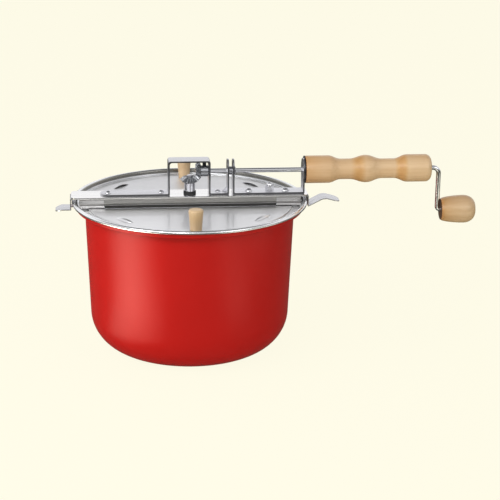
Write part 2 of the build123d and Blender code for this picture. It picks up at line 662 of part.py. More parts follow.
# ---- stirrer ----
def make_bearing():
    """The bearing that stands on the crossbar; its neck goes through the top plate."""
    body = upright_bar(BEARING_R, BAR_TOP, BEARING_TOP)
    body = chamfer(body.edges().group_by(Axis.Z)[-1], BEARING_EDGE)
    body = body + upright_bar(BEARING_NECK_R, BEARING_FOOT, BAR_TOP)
    return body - upright_bar(SHAFT_R + SHAFT_RUN, 0, ROD_Z)


def make_bearing_nut():
    """The nut that clamps the bearing from inside the crossbar."""
    corner_r = (BEARING_NECK_R + BEARING_NUT_WALL) * 2 / sqrt(3)
    hexagon = side(0, 0, BAR_UNDER - BEARING_NUT_H) * RegularPolygon(corner_r, 6)
    nut = extrude(hexagon, BEARING_NUT_H)
    return nut - upright_bar(BEARING_NECK_R, 0, ROD_Z)


def make_seal_ring():
    """A black ring round the bearing's foot."""
    ring = upright_bar(BEARING_R + SEAL_RING_W, BAR_TOP, BAR_TOP + SEAL_RING_H)
    ring = fillet(ring.edges().group_by(Axis.Z)[-1], SEAL_RING_W / 2)
    return ring - upright_bar(BEARING_R, 0, ROD_Z)


def make_stir_shaft():
    """The upright shaft, with a cross hole for the stirring wire near its lower end."""
    shaft = upright_bar(SHAFT_R, PAN_BASE + STIR_HUB_CLEAR, ROD_Z - SHAFT_UNDER_ROD)
    shaft = chamfer(shaft.edges().group_by(Axis.Z)[-1], SHAFT_EDGE)
    return shaft - along_x(STIR_WIRE_D / 2, -SHAFT_R, SHAFT_R, 0, stir_wire_low() + STIR_HUB_RISE)


def stir_wire_low():
    """Height of the wire's middle where it sweeps the base."""
    return PAN_BASE + STIR_CLEAR + STIR_WIRE_D / 2


def make_stir_wire():
    """One S-shaped wire through the shaft; its ends rise along the pan's round corner."""
    low = stir_wire_low()
    corner_r = PAN_CORNER_R - PAN_BASE
    wall_foot = PAN_BODY_R - LEDGE_Z * tan(radians(PAN_DRAFT)) - PAN_WALL
    reach = corner_r - STIR_CLEAR - STIR_WIRE_D
    rise = radians(STIR_TIP_RISE)
    tip_r = wall_foot - corner_r + reach * sin(rise)
    tip_z = PAN_BASE + corner_r - reach * cos(rise)

    def swept(radius, degrees, z):
        return (radius * cos(radians(degrees)), radius * sin(radians(degrees)), z)

    arm = [
        swept(STIR_STRAIGHT, 0, low + STIR_HUB_RISE),
        swept(STIR_INNER_R, STIR_INNER_DEG, low),
        swept(STIR_OUTER_R, STIR_OUTER_DEG, low),
        swept(tip_r, STIR_TIP_DEG, tip_z),
    ]
    other = [(-x, -y, z) for x, y, z in reversed(arm)]
    path = FilletPolyline(*other, *arm, radius=[*STIR_BENDS, *reversed(STIR_BENDS)]).wire()
    section = Plane(origin=path @ 0, z_dir=path % 0) * Circle(STIR_WIRE_D / 2)
    return sweep(section, path=path)


def make_shaft_collar():
    """The collar that stops the shaft from lifting."""
    top = BEARING_FOOT - BEARING_PLAY
    collar = upright_bar(SHAFT_R + SHAFT_COLLAR_WALL, top - SHAFT_COLLAR_H, top)
    return collar - upright_bar(SHAFT_R, 0, ROD_Z)


# ---- crank ----
def make_crank_rod():
    """One bent rod: gear end, run through the handle, arm, and the pin inside the knob."""
    pin_end = KNOB_END_X - KNOB_PLUG_T - PIN_SHORT
    points = [(ROD_START, 0, ROD_Z), (ARM_X, 0, ROD_Z), (ARM_X, 0, KNOB_Z), (pin_end, 0, KNOB_Z)]
    path = FilletPolyline(*points, radius=[CRANK_BEND_R, PIN_BEND_R]).wire()
    section = Plane(origin=path @ 0, z_dir=path % 0) * Circle(ROD_R)
    return sweep(section, path=path)


def make_rod_collar():
    """The collar on the rod between the two ears."""
    x0 = EAR1_X + STRAP_SHEET + ROD_COLLAR_PLAY
    x1 = EAR2_X - ROD_COLLAR_PLAY
    collar = along_x(ROD_COLLAR_R, x0, x1, 0, ROD_Z)
    return collar - along_x(ROD_R, x0, x1, 0, ROD_Z)


def push_nut(x0, z):
    """A push-on nut: a dished washer round the rod."""
    points = [
        (ROD_R, 0), (ROD_COLLAR_R, 0), (ROD_COLLAR_R, PUSH_NUT_EDGE), (ROD_R, PUSH_NUT_T),
    ]
    return side(x0, 0, z) * Rotation(0, 90, 0) * turned(points)


def make_rod_push_nut():
    """The push-on nut outside the second ear."""
    return push_nut(EAR2_X + STRAP_SHEET + ROD_COLLAR_PLAY, ROD_Z)


def knob_nut_x():
    """Where the push-on nut inside the crank knob stands."""
    return KNOB_END_X - KNOB_PLUG_T - KNOB_NUT_ROOM + ROD_COLLAR_PLAY


def make_knob_push_nut():
    """The push-on nut that keeps the knob on its pin."""
    return push_nut(knob_nut_x(), KNOB_Z)


def knob_form():
    """The crank knob's outside: a flat face, a gentle swell and a round end."""
    face_r, max_r, nose = KNOB_FACE_D / 2, KNOB_MAX_D / 2, KNOB_NOSE_W / 2
    early_r = face_r + (max_r - face_r) * KNOB_SWELL
    swell = Bezier((face_r, 0), (early_r, KNOB_MAX_AT * (1 - KNOB_SWELL)),
                   (max_r, KNOB_MAX_AT * KNOB_SWELL), (max_r, KNOB_MAX_AT))
    square_z = KNOB_MAX_AT + (KNOB_L - KNOB_MAX_AT) * KNOB_END_EASE
    end = Bezier((max_r, KNOB_MAX_AT), (max_r, square_z),
                 (nose + KNOB_END_R * KNOB_END_EASE, KNOB_L), (nose, KNOB_L))
    closing = Polyline((nose, KNOB_L), (0, KNOB_L), (0, 0), (face_r, 0))
    face = make_face([swell.edge(), end.edge(), *closing.edges()])
    body = revolve(Plane.XZ * face, Axis.Z)
    body = fillet(body.edges().group_by(Axis.Z)[0], KNOB_FACE_EDGE_R)
    return side(KNOB_X, 0, KNOB_Z) * Rotation(0, 90, 0) * body


def make_crank_knob():
    """The wooden knob, bored for the pin and recessed at its end for the nut and plug."""
    room_x = KNOB_END_X - KNOB_PLUG_T - KNOB_NUT_ROOM
    knob = knob_form() - along_x(BEARING_HOLE_R, KNOB_X - 1, KNOB_END_X, 0, KNOB_Z)
    return knob - along_x(KNOB_PLUG_R, room_x, KNOB_END_X + 1, 0, KNOB_Z)


def make_knob_plug():
    """The wooden plug that closes the recess and follows the knob's round end."""
    return knob_form() & along_x(KNOB_PLUG_R, KNOB_END_X - KNOB_PLUG_T, KNOB_END_X + 1, 0, KNOB_Z)


# ---- handle ----
def handle_form():
    """The turned handle's outside, with two waists."""
    end_r = HANDLE_END_D / 2
    places = [(d / 2, share * HANDLE_L) for share, d in HANDLE_SECTIONS]
    edges = [Line((end_r, 0), places[0]).edge()]
    for (r0, z0), (r1, z1) in zip(places, places[1:]):
        ease = (z1 - z0) * HANDLE_EASE
        if r0 == r1:
            edges.append(Line((r0, z0), (r1, z1)).edge())
        else:
            edges.append(Bezier((r0, z0), (r0, z0 + ease), (r1, z1 - ease), (r1, z1)).edge())
    closing = Polyline(places[-1], (end_r, HANDLE_L), (0, HANDLE_L), (0, 0), (end_r, 0))
    body = revolve(Plane.XZ * make_face([*edges, *closing.edges()]), Axis.Z)
    body = fillet(body.edges().group_by(Axis.Z)[-1], HANDLE_END_R)
    body = fillet(body.edges().group_by(Axis.Z)[0], HANDLE_FRONT_R)
    return side(HANDLE_X, 0, ROD_Z) * Rotation(0, 90, 0) * body


def make_handle():
    """The wooden handle, bored for the tube that the crank rod runs in."""
    handle = handle_form() - along_x(TUBE_R, HANDLE_X - 1, HANDLE_END_X + 1, 0, ROD_Z)
    flare_x = HANDLE_END_X - TUBE_SHORT - TUBE_FLARE_T
    return handle - along_x(TUBE_FLARE_R, flare_x, HANDLE_END_X + 1, 0, ROD_Z)


def make_ferrule():
    """The steel disc between the bracket and the handle's end."""
    disc = along_x(HANDLE_END_D / 2, FERRULE_X, HANDLE_X, 0, ROD_Z)
    return disc - along_x(TUBE_R, FERRULE_X - 1, HANDLE_X + 1, 0, ROD_Z)


def make_handle_tube():
    """The tube that clamps the handle and is the rod's long bearing."""
    flare_x = HANDLE_END_X - TUBE_SHORT - TUBE_FLARE_T
    tube = along_x(TUBE_R, UPRIGHT_X, HANDLE_END_X - TUBE_SHORT, 0, ROD_Z)
    tube = tube + along_x(TUBE_FLARE_R, flare_x, HANDLE_END_X - TUBE_SHORT, 0, ROD_Z)
    return tube - along_x(BEARING_HOLE_R, UPRIGHT_X - 1, HANDLE_END_X + 1, 0, ROD_Z)


# ---- rim clips ----
def make_clip(x_side):
    """A bent strip: slotted tail, run over the lip, hook under it and a finger tab."""
    mid = CLIP_SHEET / 2
    rivet = abs(CLIP_RIVET_X[0] if x_side < 0 else CLIP_RIVET_X[1])
    tail = rivet - CLIP_TRAVEL - RIVET_SHANK_D / 2 - CLIP_END_MARGIN
    web_z = BAR_UNDER - CLIP_GAP - mid
    drop_x = RIM_R + CLIP_OUT + mid
    hook_top = LIP_HEM_Z - CLIP_HOOK_GAP
    foot_z = hook_top - CLIP_SHEET - CLIP_BEND_R
    if x_side < 0:
        knee = (RIM_R + LEFT_KNEE_OUT, foot_z + LEFT_KNEE_RISE)
        tip = (RIM_R + LEFT_TAB_L, LIP_HEM_Z - LEFT_TAB_DROP)
        tab_bend = LEFT_TAB_BEND_R
    else:
        knee = (RIM_R + RIGHT_KNEE_OUT, LIP_HEM_Z + RIGHT_TAB_RISE)
        tip = (RIM_R + RIGHT_TAB_L, LIP_HEM_Z + RIGHT_TIP_RISE)
        tab_bend = RIGHT_TAB_BEND_R
    points = [(tail, web_z), (drop_x, web_z), (drop_x, foot_z), knee, tip]
    strip = bent_strip(points, [CLIP_BEND_R, CLIP_BEND_R, tab_bend], CLIP_SHEET, CLIP_W)
    plan = RectangleRounded(tip[0] - tail, CLIP_W, TAB_TIP_R)
    strip = strip & extrude(side((tail + tip[0]) / 2, 0, 0) * plan, STRAP_TOP)
    hook_in = RIM_R - CLIP_HOOK_REACH
    half = CLIP_HOOK_W / 2
    strip = strip + block(hook_in, drop_x, -half, half, hook_top - CLIP_SHEET, hook_top)
    slot_r = RIVET_SHANK_D / 2 + CLIP_GAP
    for x in (rivet - CLIP_TRAVEL, rivet):
        strip = strip - upright_bar(slot_r, LIP_TOP, BAR_TOP, x)
    strip = strip - block(rivet - CLIP_TRAVEL, rivet, -slot_r, slot_r, LIP_TOP, BAR_TOP)
    return strip if x_side > 0 else mirror(strip, Plane.YZ)


# ---- every node ----
def all_nodes():
    """Each node's name with its solids."""
    return {
        "pan": make_pan(),
        "crossbar": make_crossbar(),
        "hinge_keepers": make_hinge_keepers(),
        "front_hinge_wire": make_hinge_wire(-1),
        "back_hinge_wire": make_hinge_wire(1),
        "gear_bracket": make_gear_bracket(),
        "handle_bracket": make_handle_bracket(),
        "strap_rivets": make_strap_rivets(),
        "clip_rivets": make_clip_rivets(),
        "bracket_stud": make_stud(),
        "cap_nut": make_cap_nut(),
        "stir_bearing": make_bearing(),
        "bearing_nut": make_bearing_nut(),
        "seal_ring": make_seal_ring(),
        "handle": make_handle(),
        "handle_ferrule": make_ferrule(),
        "handle_tube": make_handle_tube(),
        "front_half_lid": make_half_lid(-1),
        "front_lid_knob": make_lid_knob(-1),
        "front_knob_screw": make_lid_screw(-1),
        "back_half_lid": make_half_lid(1),
        "back_lid_knob": make_lid_knob(1),
        "back_knob_screw": make_lid_screw(1),
        "left_clip": make_clip(-1),
        "right_clip": make_clip(1),
        "crank_rod": make_crank_rod(),
        "crank_gear": make_crank_gear(),
        "gear_set_screw": make_set_screw(),
        "rod_collar": make_rod_collar(),
        "rod_push_nut": make_rod_push_nut(),
        "knob_push_nut": make_knob_push_nut(),
        "crank_knob": make_crank_knob(),
        "knob_plug": make_knob_plug(),
        "stir_shaft": make_stir_shaft(),
        "stir_gear": make_stir_gear(),
        "shaft_collar": make_shaft_collar(),
        "stir_wire": make_stir_wire(),
    }


def main():
    """Write one STEP file for each node."""
    os.makedirs("parts", exist_ok=True)
    for name, shape in all_nodes().items():
        solids = [s for item in (shape if isinstance(shape, list) else [shape]) for s in item.solids()]
        result = solids[0] if len(solids) == 1 else Compound(children=solids)
        export_step(result, f"parts/{name}.step")
        print(f"{name:18s} {len(solids)} solid(s) {sum(s.volume for s in solids):10.1f} mm3")


main()
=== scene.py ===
from math import acos, cos, degrees, hypot, pi, radians, sin, sqrt, tan

import bmesh
import bpy
from bpy.props import FloatProperty, FloatVectorProperty, IntProperty, PointerProperty
from mathutils import Matrix, Vector
from mathutils.geometry import interpolate_bezier


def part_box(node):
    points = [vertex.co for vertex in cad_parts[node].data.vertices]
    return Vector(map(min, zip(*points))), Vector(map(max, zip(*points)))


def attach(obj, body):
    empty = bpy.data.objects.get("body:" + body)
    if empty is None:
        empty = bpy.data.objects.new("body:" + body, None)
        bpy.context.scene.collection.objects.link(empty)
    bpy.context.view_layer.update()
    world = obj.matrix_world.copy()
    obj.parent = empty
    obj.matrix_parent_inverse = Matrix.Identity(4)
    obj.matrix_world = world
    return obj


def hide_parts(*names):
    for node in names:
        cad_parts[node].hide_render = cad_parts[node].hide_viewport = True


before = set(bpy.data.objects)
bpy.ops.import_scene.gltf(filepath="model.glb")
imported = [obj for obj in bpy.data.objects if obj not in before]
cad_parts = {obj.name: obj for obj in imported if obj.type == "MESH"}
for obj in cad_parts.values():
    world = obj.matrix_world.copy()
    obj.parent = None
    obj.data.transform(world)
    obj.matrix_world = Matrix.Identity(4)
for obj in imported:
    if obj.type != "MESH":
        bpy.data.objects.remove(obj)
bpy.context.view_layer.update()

bl_info = {
    "name": "Stovetop Popcorn Popper",
    "version": (1, 0, 0),
    "blender": (4, 5, 0),
    "location": "View3D > Sidebar > Popper",
    "description": "Builds the visible pieces, finishes and stage of a hand cranked popcorn popper",
    "category": "Object",
}

MM = 0.001


# ---- sizes read from the frame ----
def span(node):
    """A node's lowest and highest corner in millimetres."""
    low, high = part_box(node)
    return Vector(low) / MM, Vector(high) / MM


PAN_LOW, PAN_HIGH = span("pan")
LID_LOW, LID_HIGH = span("front_half_lid")
HANDLE_LOW, HANDLE_HIGH = span("handle")
GRIP_LOW, GRIP_HIGH = span("crank_knob")
ROD_LOW, ROD_HIGH = span("crank_rod")
RIM_R = min(*PAN_HIGH.xy, *(-PAN_LOW.xy))
LIP_TOP = PAN_HIGH.z
BAR_TOP = span("crossbar")[1].z
STIR_GEAR_FOOT = span("stir_gear")[0].z
CRANK_GEAR_END = span("crank_gear")[1].x
ROD_Z = (HANDLE_LOW.z + HANDLE_HIGH.z) / 2
GRIP_Z = (GRIP_LOW.z + GRIP_HIGH.z) / 2
ROLL_RISE = 3.15
ROLL_DEPTH = 3.9
ROLL_HIGH_Z = LID_HIGH.z
LID_PANEL_Z = ROLL_HIGH_Z - ROLL_RISE
ROLL_EDGE_Y = -LID_HIGH.y + ROLL_DEPTH


SOLID_GAP = 3.0


def solids_along_x(node):
    """The low and high corner of each of a node's solids, which stand in a row along X."""
    points = sorted((Vector(v.co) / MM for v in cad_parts[node].data.vertices),
                    key=lambda p: p.x)
    groups = [[points[0]]]
    for before, point in zip(points, points[1:]):
        if point.x - before.x > SOLID_GAP:
            groups.append([])
        groups[-1].append(point)
    return [tuple(Vector(pick(p[axis] for p in group) for axis in range(3)) for pick in (min, max))
            for group in groups]


# ---- node trees ----
def feed(tree, socket, value):
    """Links a socket to another one, or sets its value."""
    if isinstance(value, bpy.types.NodeSocket):
        tree.links.new(value, socket)
    else:
        socket.default_value = value


def add(tree, kind, inputs=None, **settings):
    """Adds a node, sets its properties, and feeds its inputs by name or number."""
    node = tree.nodes.new(kind)
    for key, value in settings.items():
        setattr(node, key, value)
    for key, value in (inputs or {}).items():
        feed(tree, node.inputs[key], value)
    return node


def maths(tree, operation, *values):
    """The result of one math node."""
    return add(tree, "ShaderNodeMath", dict(enumerate(values)), operation=operation).outputs[0]


def times(tree, one, two):
    """The product of two values."""
    return maths(tree, "MULTIPLY", one, two)


def axes(tree, vector):
    """The X, Y and Z of a vector."""
    return add(tree, "ShaderNodeSeparateXYZ", {0: vector}).outputs


def far_from_axis(tree, one, two):
    """The distance from an axis, from the two places across it."""
    return maths(tree, "SQRT", maths(tree, "ADD", times(tree, one, one), times(tree, two, two)))


def coordinates(tree, kind="Object"):
    """Texture coordinates; those of the object are in metres."""
    return add(tree, "ShaderNodeTexCoord").outputs[kind]


def noise(tree, scale, detail=4.0, rough=0.55, place=None):
    """Noise with one count per metre, or with a count for each of X, Y and Z."""
    scale = scale if hasattr(scale, "__len__") else (scale,) * 3
    mapping = add(tree, "ShaderNodeMapping",
                  {"Vector": place or coordinates(tree), "Scale": scale})
    return add(tree, "ShaderNodeTexNoise", {
        "Vector": mapping.outputs[0], "Scale": 1.0, "Detail": detail,
        "Roughness": rough}).outputs["Fac"]


def ranged(tree, value, low, high, to_low=0.0, to_high=1.0):
    """A value mapped from one range to another."""
    return add(tree, "ShaderNodeMapRange", {
        "Value": value, "From Min": low, "From Max": high,
        "To Min": to_low, "To Max": to_high}).outputs[0]


def zone(tree, *edges):
    """The product of ranges: each edge is a value, two places in millimetres, and its results."""
    inside = None
    for value, low, high, *ends in edges:
        step = ranged(tree, value, low * MM, high * MM, *ends)
        inside = step if inside is None else times(tree, inside, step)
    return inside


def tones(tree, value, stops):
    """A colour from a value, by stops of (place, colour)."""
    node = add(tree, "ShaderNodeValToRGB", {"Fac": value})
    ramp = node.color_ramp
    while len(ramp.elements) < len(stops):
        ramp.elements.new(0.5)
    for element, (place, colour) in zip(ramp.elements, stops):
        element.position = place
        element.color = (*colour, 1.0)
    return node.outputs["Color"]


def blend_colours(tree, factor, one, two, mode="MIX"):
    """Two colours mixed by a factor."""
    node = add(tree, "ShaderNodeMix", {0: factor}, data_type="RGBA", blend_type=mode)
    for number, colour in ((6, one), (7, two)):
        linked = isinstance(colour, bpy.types.NodeSocket)
        feed(tree, node.inputs[number], colour if linked else (*colour, 1.0))
    return node.outputs[2]


def multiplied(tree, factor, one, two):
    """A colour multiplied by another one, as far as the factor says."""
    return blend_colours(tree, factor, one, two, "MULTIPLY")


def bumped(tree, height, strength, depth, under=None):
    """A bump of the given depth in metres, over another one if given."""
    inputs = {"Height": height, "Strength": strength, "Distance": depth}
    if under is not None:
        inputs["Normal"] = under
    return add(tree, "ShaderNodeBump", inputs).outputs[0]


SHADER = "Principled BSDF"
WHITE = (1.0, 1.0, 1.0)


def scaled(values, share):
    """A colour, or a set of counts, with each number times a share."""
    return tuple(value * share for value in values)


def new_finish(name, **sockets):
    """A material; sockets are constants set on its principled shader itself."""
    finish = bpy.data.materials.new(name)
    finish.use_nodes = True
    shader = finish.node_tree.nodes[SHADER]
    for key, value in sockets.items():
        shader.inputs[key.replace("_", " ")].default_value = value
    return finish, finish.node_tree


def dressed(finish, colour, rough, normal):
    """Feeds a finish with its colour, roughness and normal, and gives it back."""
    tree = finish.node_tree
    sockets = tree.nodes[SHADER].inputs
    for name, value in (("Base Color", colour), ("Roughness", rough), ("Normal", normal)):
        feed(tree, sockets[name], value)
    return finish


# ---- finishes ----
WALL_BLUR = 0.4
# Painted shade: the nearly black tone put on the lids' hinge rolls.
ROLL_PAINTED_SHADE = (0.035, 0.034, 0.032)
# Distance from the middle beyond which faces that look along Y take the darker tone, sheared edges
# or painted shade.
DARK_Y_FACES_FROM = (0.003, 0.004)


def red_enamel(colour):
    """Satin red enamel with a faint orange peel and slow changes of tone."""
    finish, tree = new_finish("red_enamel", Specular_IOR_Level=0.22)
    slow = noise(tree, (14, 14, 9), 3.0)
    tone = tones(tree, slow, [(0.3, scaled(colour, 0.92)), (0.7, colour)])
    rough = ranged(tree, noise(tree, 2600, 2.0), 0.3, 0.7, 0.30, 0.38)
    return dressed(finish, tone, rough, bumped(tree, noise(tree, 520, 2.0), 0.12, 0.00012))


def spun_aluminium(name, colour, roughness, shaded_wall=None):
    """Bare aluminium with fine rings about Z.

    The last argument is a painted shade for an inner wall: its tone, with the wall's radius, foot
    and top.
    """
    finish, tree = new_finish(name, Metallic=1.0)
    x, y, z = axes(tree, coordinates(tree))
    radius = far_from_axis(tree, x, y)
    ring = add(tree, "ShaderNodeCombineXYZ", {0: radius, 1: z}).outputs[0]
    lines = noise(tree, (3200, 3200, 1), 3.0, 0.6, ring)
    cloud = noise(tree, 26, 3.0)
    metal = tones(tree, cloud, [(0.35, scaled(colour, 0.84)), (0.65, colour)])
    # Painted shade: the inner wall, between its foot and top, takes the darker tone.
    if shaded_wall:
        tone, inner_r, foot_z, top_z = shaded_wall
        wall = zone(tree, (z, top_z - WALL_BLUR, top_z + WALL_BLUR, 1.0, 0.0),
                    (z, foot_z - WALL_BLUR, foot_z + WALL_BLUR),
                    (radius, inner_r, inner_r + 0.5, 1.0, 0.0))
        metal = blend_colours(tree, wall, metal, tone)
    rough = ranged(tree, lines, 0.25, 0.75, roughness, roughness + 0.12)
    return dressed(finish, metal, rough, bumped(tree, lines, 0.10, 0.00005))


def rolled_sheet(name, colour, roughness, blotched, waviness, gloss):
    """Thin bright lid sheet: grain along X, soft blotches, waves, and painted shade that makes the
    hinge roll nearly black.
    """
    finish, tree = new_finish(name, Metallic=1.0, Coat_Weight=gloss, Coat_Roughness=0.04)
    blotch = noise(tree, (38, 30, 38), 5.0, 0.6)
    grain = noise(tree, (60, 2400, 2400), 3.0, 0.7)
    base = tones(tree, blotch, [(0.35, scaled(colour, 1.0 - blotched)), (0.62, colour)])
    fine = tones(tree, grain, [(0.3, scaled(WHITE, 0.94)), (0.7, WHITE)])
    _, y, z = axes(tree, coordinates(tree))
    # Painted shade: the hinge roll, from the panel up to just under its top, is made nearly black
    # and rougher.
    roll = zone(tree, (z, LID_PANEL_Z, LID_PANEL_Z + 0.25),
                (z, ROLL_HIGH_Z - 0.4, ROLL_HIGH_Z - 0.1, 1.0, 0.0),
                (maths(tree, "ABSOLUTE", y), ROLL_EDGE_Y + 0.15, ROLL_EDGE_Y + 0.35, 1.0, 0.0))
    sheet = blend_colours(tree, roll, multiplied(tree, 1.0, base, fine), ROLL_PAINTED_SHADE)
    rough = ranged(tree, blotch, 0.3, 0.7, roughness, roughness + 0.10)
    waves = bumped(tree, noise(tree, 16, 1.0), 0.25, waviness)
    return dressed(finish, sheet, maths(tree, "MULTIPLY_ADD", roll, 0.3, rough),
                   bumped(tree, grain, 0.05, 0.00004, waves))


def drawn_steel(name, light, dark, roughness, grain=(18, 1400, 1400), cut_edge_and_shade=None):
    """Steel with long drawing streaks; the last argument is a darker tone for faces that look along
    Y: sheared edges on a strap, painted shade on the crossbar's flanges.
    """
    finish, tree = new_finish(name, Metallic=1.0)
    streak = noise(tree, grain, 4.0, 0.65)
    broad = noise(tree, scaled(grain, 0.12), 2.0)
    both = maths(tree, "MULTIPLY_ADD", streak, 0.5, times(tree, broad, 0.5))
    colour = tones(tree, both, [(0.36, dark), (0.64, light)])
    rough = ranged(tree, streak, 0.25, 0.75, roughness, roughness + 0.14)
    if cut_edge_and_shade:
        # Faces that look along Y, away from the middle, get the darker tone: a strap's sheared
        # edges, and painted shade on the crossbar's flanges.
        turned_to, off_middle = [maths(tree, "ABSOLUTE", axes(tree, coordinates(tree, kind))[1])
                                 for kind in ("Normal", "Object")]
        edge = times(tree, ranged(tree, turned_to, 0.55, 0.95),
                     ranged(tree, off_middle, *DARK_Y_FACES_FROM))
        colour = blend_colours(tree, edge, colour, cut_edge_and_shade)
        rough = maths(tree, "MULTIPLY_ADD", edge, 0.15, rough)
    return dressed(finish, colour, rough, bumped(tree, streak, 0.06, 0.00005))


def sintered_steel(colour):
    """Grey pressed gear steel with a grainy skin and worn flecks."""
    finish, tree = new_finish("gear_steel", Metallic=1.0)
    grain = noise(tree, 2200)
    fleck = add(tree, "ShaderNodeTexVoronoi", {"Vector": coordinates(tree), "Scale": 900.0})
    base = tones(tree, grain, [(0.35, scaled(colour, 0.62)), (0.65, colour)])
    worn_spots = ranged(tree, fleck.outputs["Distance"], 0.0, 0.35, 0.35, 0.0)
    light = [min(1.0, level) for level in scaled(colour, 1.7)]
    return dressed(finish, blend_colours(tree, worn_spots, base, light),
                   ranged(tree, grain, 0.3, 0.7, 0.26, 0.42), bumped(tree, grain, 0.2, 0.00006))


def speckled_black(name, colour, metallic, specks, lift, stops, rough, bump):
    """A dark finish with specks that are lift times as light as its colour."""
    finish, tree = new_finish(name, Metallic=metallic)
    speck = noise(tree, *specks)
    tone = tones(tree, speck, [(stops[0], colour), (stops[1], scaled(colour, lift))])
    return dressed(finish, tone, ranged(tree, speck, 0.3, 0.7, *rough), bumped(tree, speck, *bump))


def blackened_steel(colour):
    """Oiled black steel with a dusty speckle."""
    return speckled_black("dark_steel", colour, 0.85, (1500, 4.0), 2.2, (0.45, 0.8),
                          (0.3, 0.45), (0.1, 0.00005))


def black_rubber(colour):
    """Dull rubber with a fine grain."""
    return speckled_black("black_rubber", colour, 0.0, (3000, 2.0), 1.8, (0.4, 0.7),
                          (0.6, 0.75), (0.15, 0.00006))


RING_COUNT = 300.0
RING_WARP = 0.012
# Tones of the painted shade, from faces turned away up to faces that look straight to -X or down.
PAINTED_SIDE_SHADE = ((0.04, WHITE), (0.30, (0.86, 0.72, 0.48)), (0.75, (0.78, 0.50, 0.25)),
          (0.97, (0.16, 0.10, 0.06)))


def turned_maple(name, pale, deep, along, centre):
    """Lacquered maple: faint growth rings, fine streaks, clouds, and painted shade on one side.

    along is 0 for grain along X and 2 for grain along Z; centre is in metres. The painted shade
    is on the faces that look to -X on a piece along X, and down on a piece along Z.
    """
    finish, tree = new_finish(name, Coat_Weight=0.3, Coat_Roughness=0.3)
    place = add(tree, "ShaderNodeMapping",
                {"Vector": coordinates(tree), "Location": [-c for c in centre]}).outputs[0]
    broad, fine = [70.0] * 3, [750.0] * 3
    broad[along], fine[along] = 7.0, 24.0
    warp = noise(tree, broad, 3.0, 0.5, place)
    across = [part for axis, part in enumerate(axes(tree, place)) if axis != along]
    warped = maths(tree, "MULTIPLY_ADD", warp, RING_WARP, far_from_axis(tree, *across))
    band = maths(tree, "PINGPONG", times(tree, warped, RING_COUNT), 1.0)
    ring = tones(tree, band, [(0.0, (0.90, 0.86, 0.80)), (0.35, WHITE)])
    cloud = noise(tree, scaled(broad, 0.7), 2.0, 0.5, place)
    streak = noise(tree, fine, 4.0, 0.6, place)
    soft = tones(tree, streak, [(0.35, (0.93, 0.90, 0.85)), (0.60, WHITE)])
    # Painted shade: faces that look to -X, or down on a piece along Z, are darkened.
    lean = times(tree, axes(tree, coordinates(tree, "Normal"))[along], -1.0)
    colour = tones(tree, cloud, [(0.36, deep), (0.62, pale)])
    for factor, layer in ((0.55, ring), (0.8, soft), (1.0, tones(tree, lean, PAINTED_SIDE_SHADE))):
        colour = multiplied(tree, factor, colour, layer)
    pore = ranged(tree, streak, 0.62, 0.72)
    return dressed(finish, colour, ranged(tree, streak, 0.3, 0.7, 0.40, 0.50),
                   bumped(tree, pore, 0.08, 0.00006))


# ---- outlines, in millimetres ----
def arc_points(centre, radius, start, end, count):
    """Points along an arc between two angles in degrees."""
    steps = [radians(start + (end - start) * n / count) for n in range(count + 1)]
    return [(centre[0] + radius * cos(a), centre[1] + radius * sin(a)) for a in steps]


def bezier(start, one, two, end, count):
    """Points of a cubic curve, as (radius, height)."""
    handles = [Vector((*p, 0)) for p in (start, one, two, end)]
    return [(p.x, p.y) for p in interpolate_bezier(*handles, count)]


def eased(start, end, ease, count):
    """Points of a curve that runs straight along the axis at both ends."""
    reach = (end[1] - start[1]) * ease
    return bezier(start, (start[0], start[1] + reach), (end[0], end[1] - reach), end, count)


# ---- geometry node trees ----
BEND_STEPS = 14


def geometry_tree(name, inputs):
    """A geometry node group with a Geometry input and output and the named inputs."""
    tree = bpy.data.node_groups.new(name, "GeometryNodeTree")
    tree.interface.new_socket("Geometry", in_out="INPUT", socket_type="NodeSocketGeometry")
    tree.interface.new_socket("Geometry", in_out="OUTPUT", socket_type="NodeSocketGeometry")
    for label, kind, default in inputs:
        socket = tree.interface.new_socket(label, in_out="INPUT", socket_type=kind)
        if default is not None:
            socket.default_value = default
    return tree, tree.nodes.new("NodeGroupInput").outputs


def end_tree(tree, geometry, finish):
    """Ends a tree in Realize Instances and Set Material."""
    real = add(tree, "GeometryNodeRealizeInstances", {"Geometry": geometry})
    painted = add(tree, "GeometryNodeSetMaterial",
                  {"Geometry": real.outputs[0], "Material": finish})
    out = tree.nodes.new("NodeGroupOutput")
    tree.links.new(painted.outputs[0], out.inputs[0])


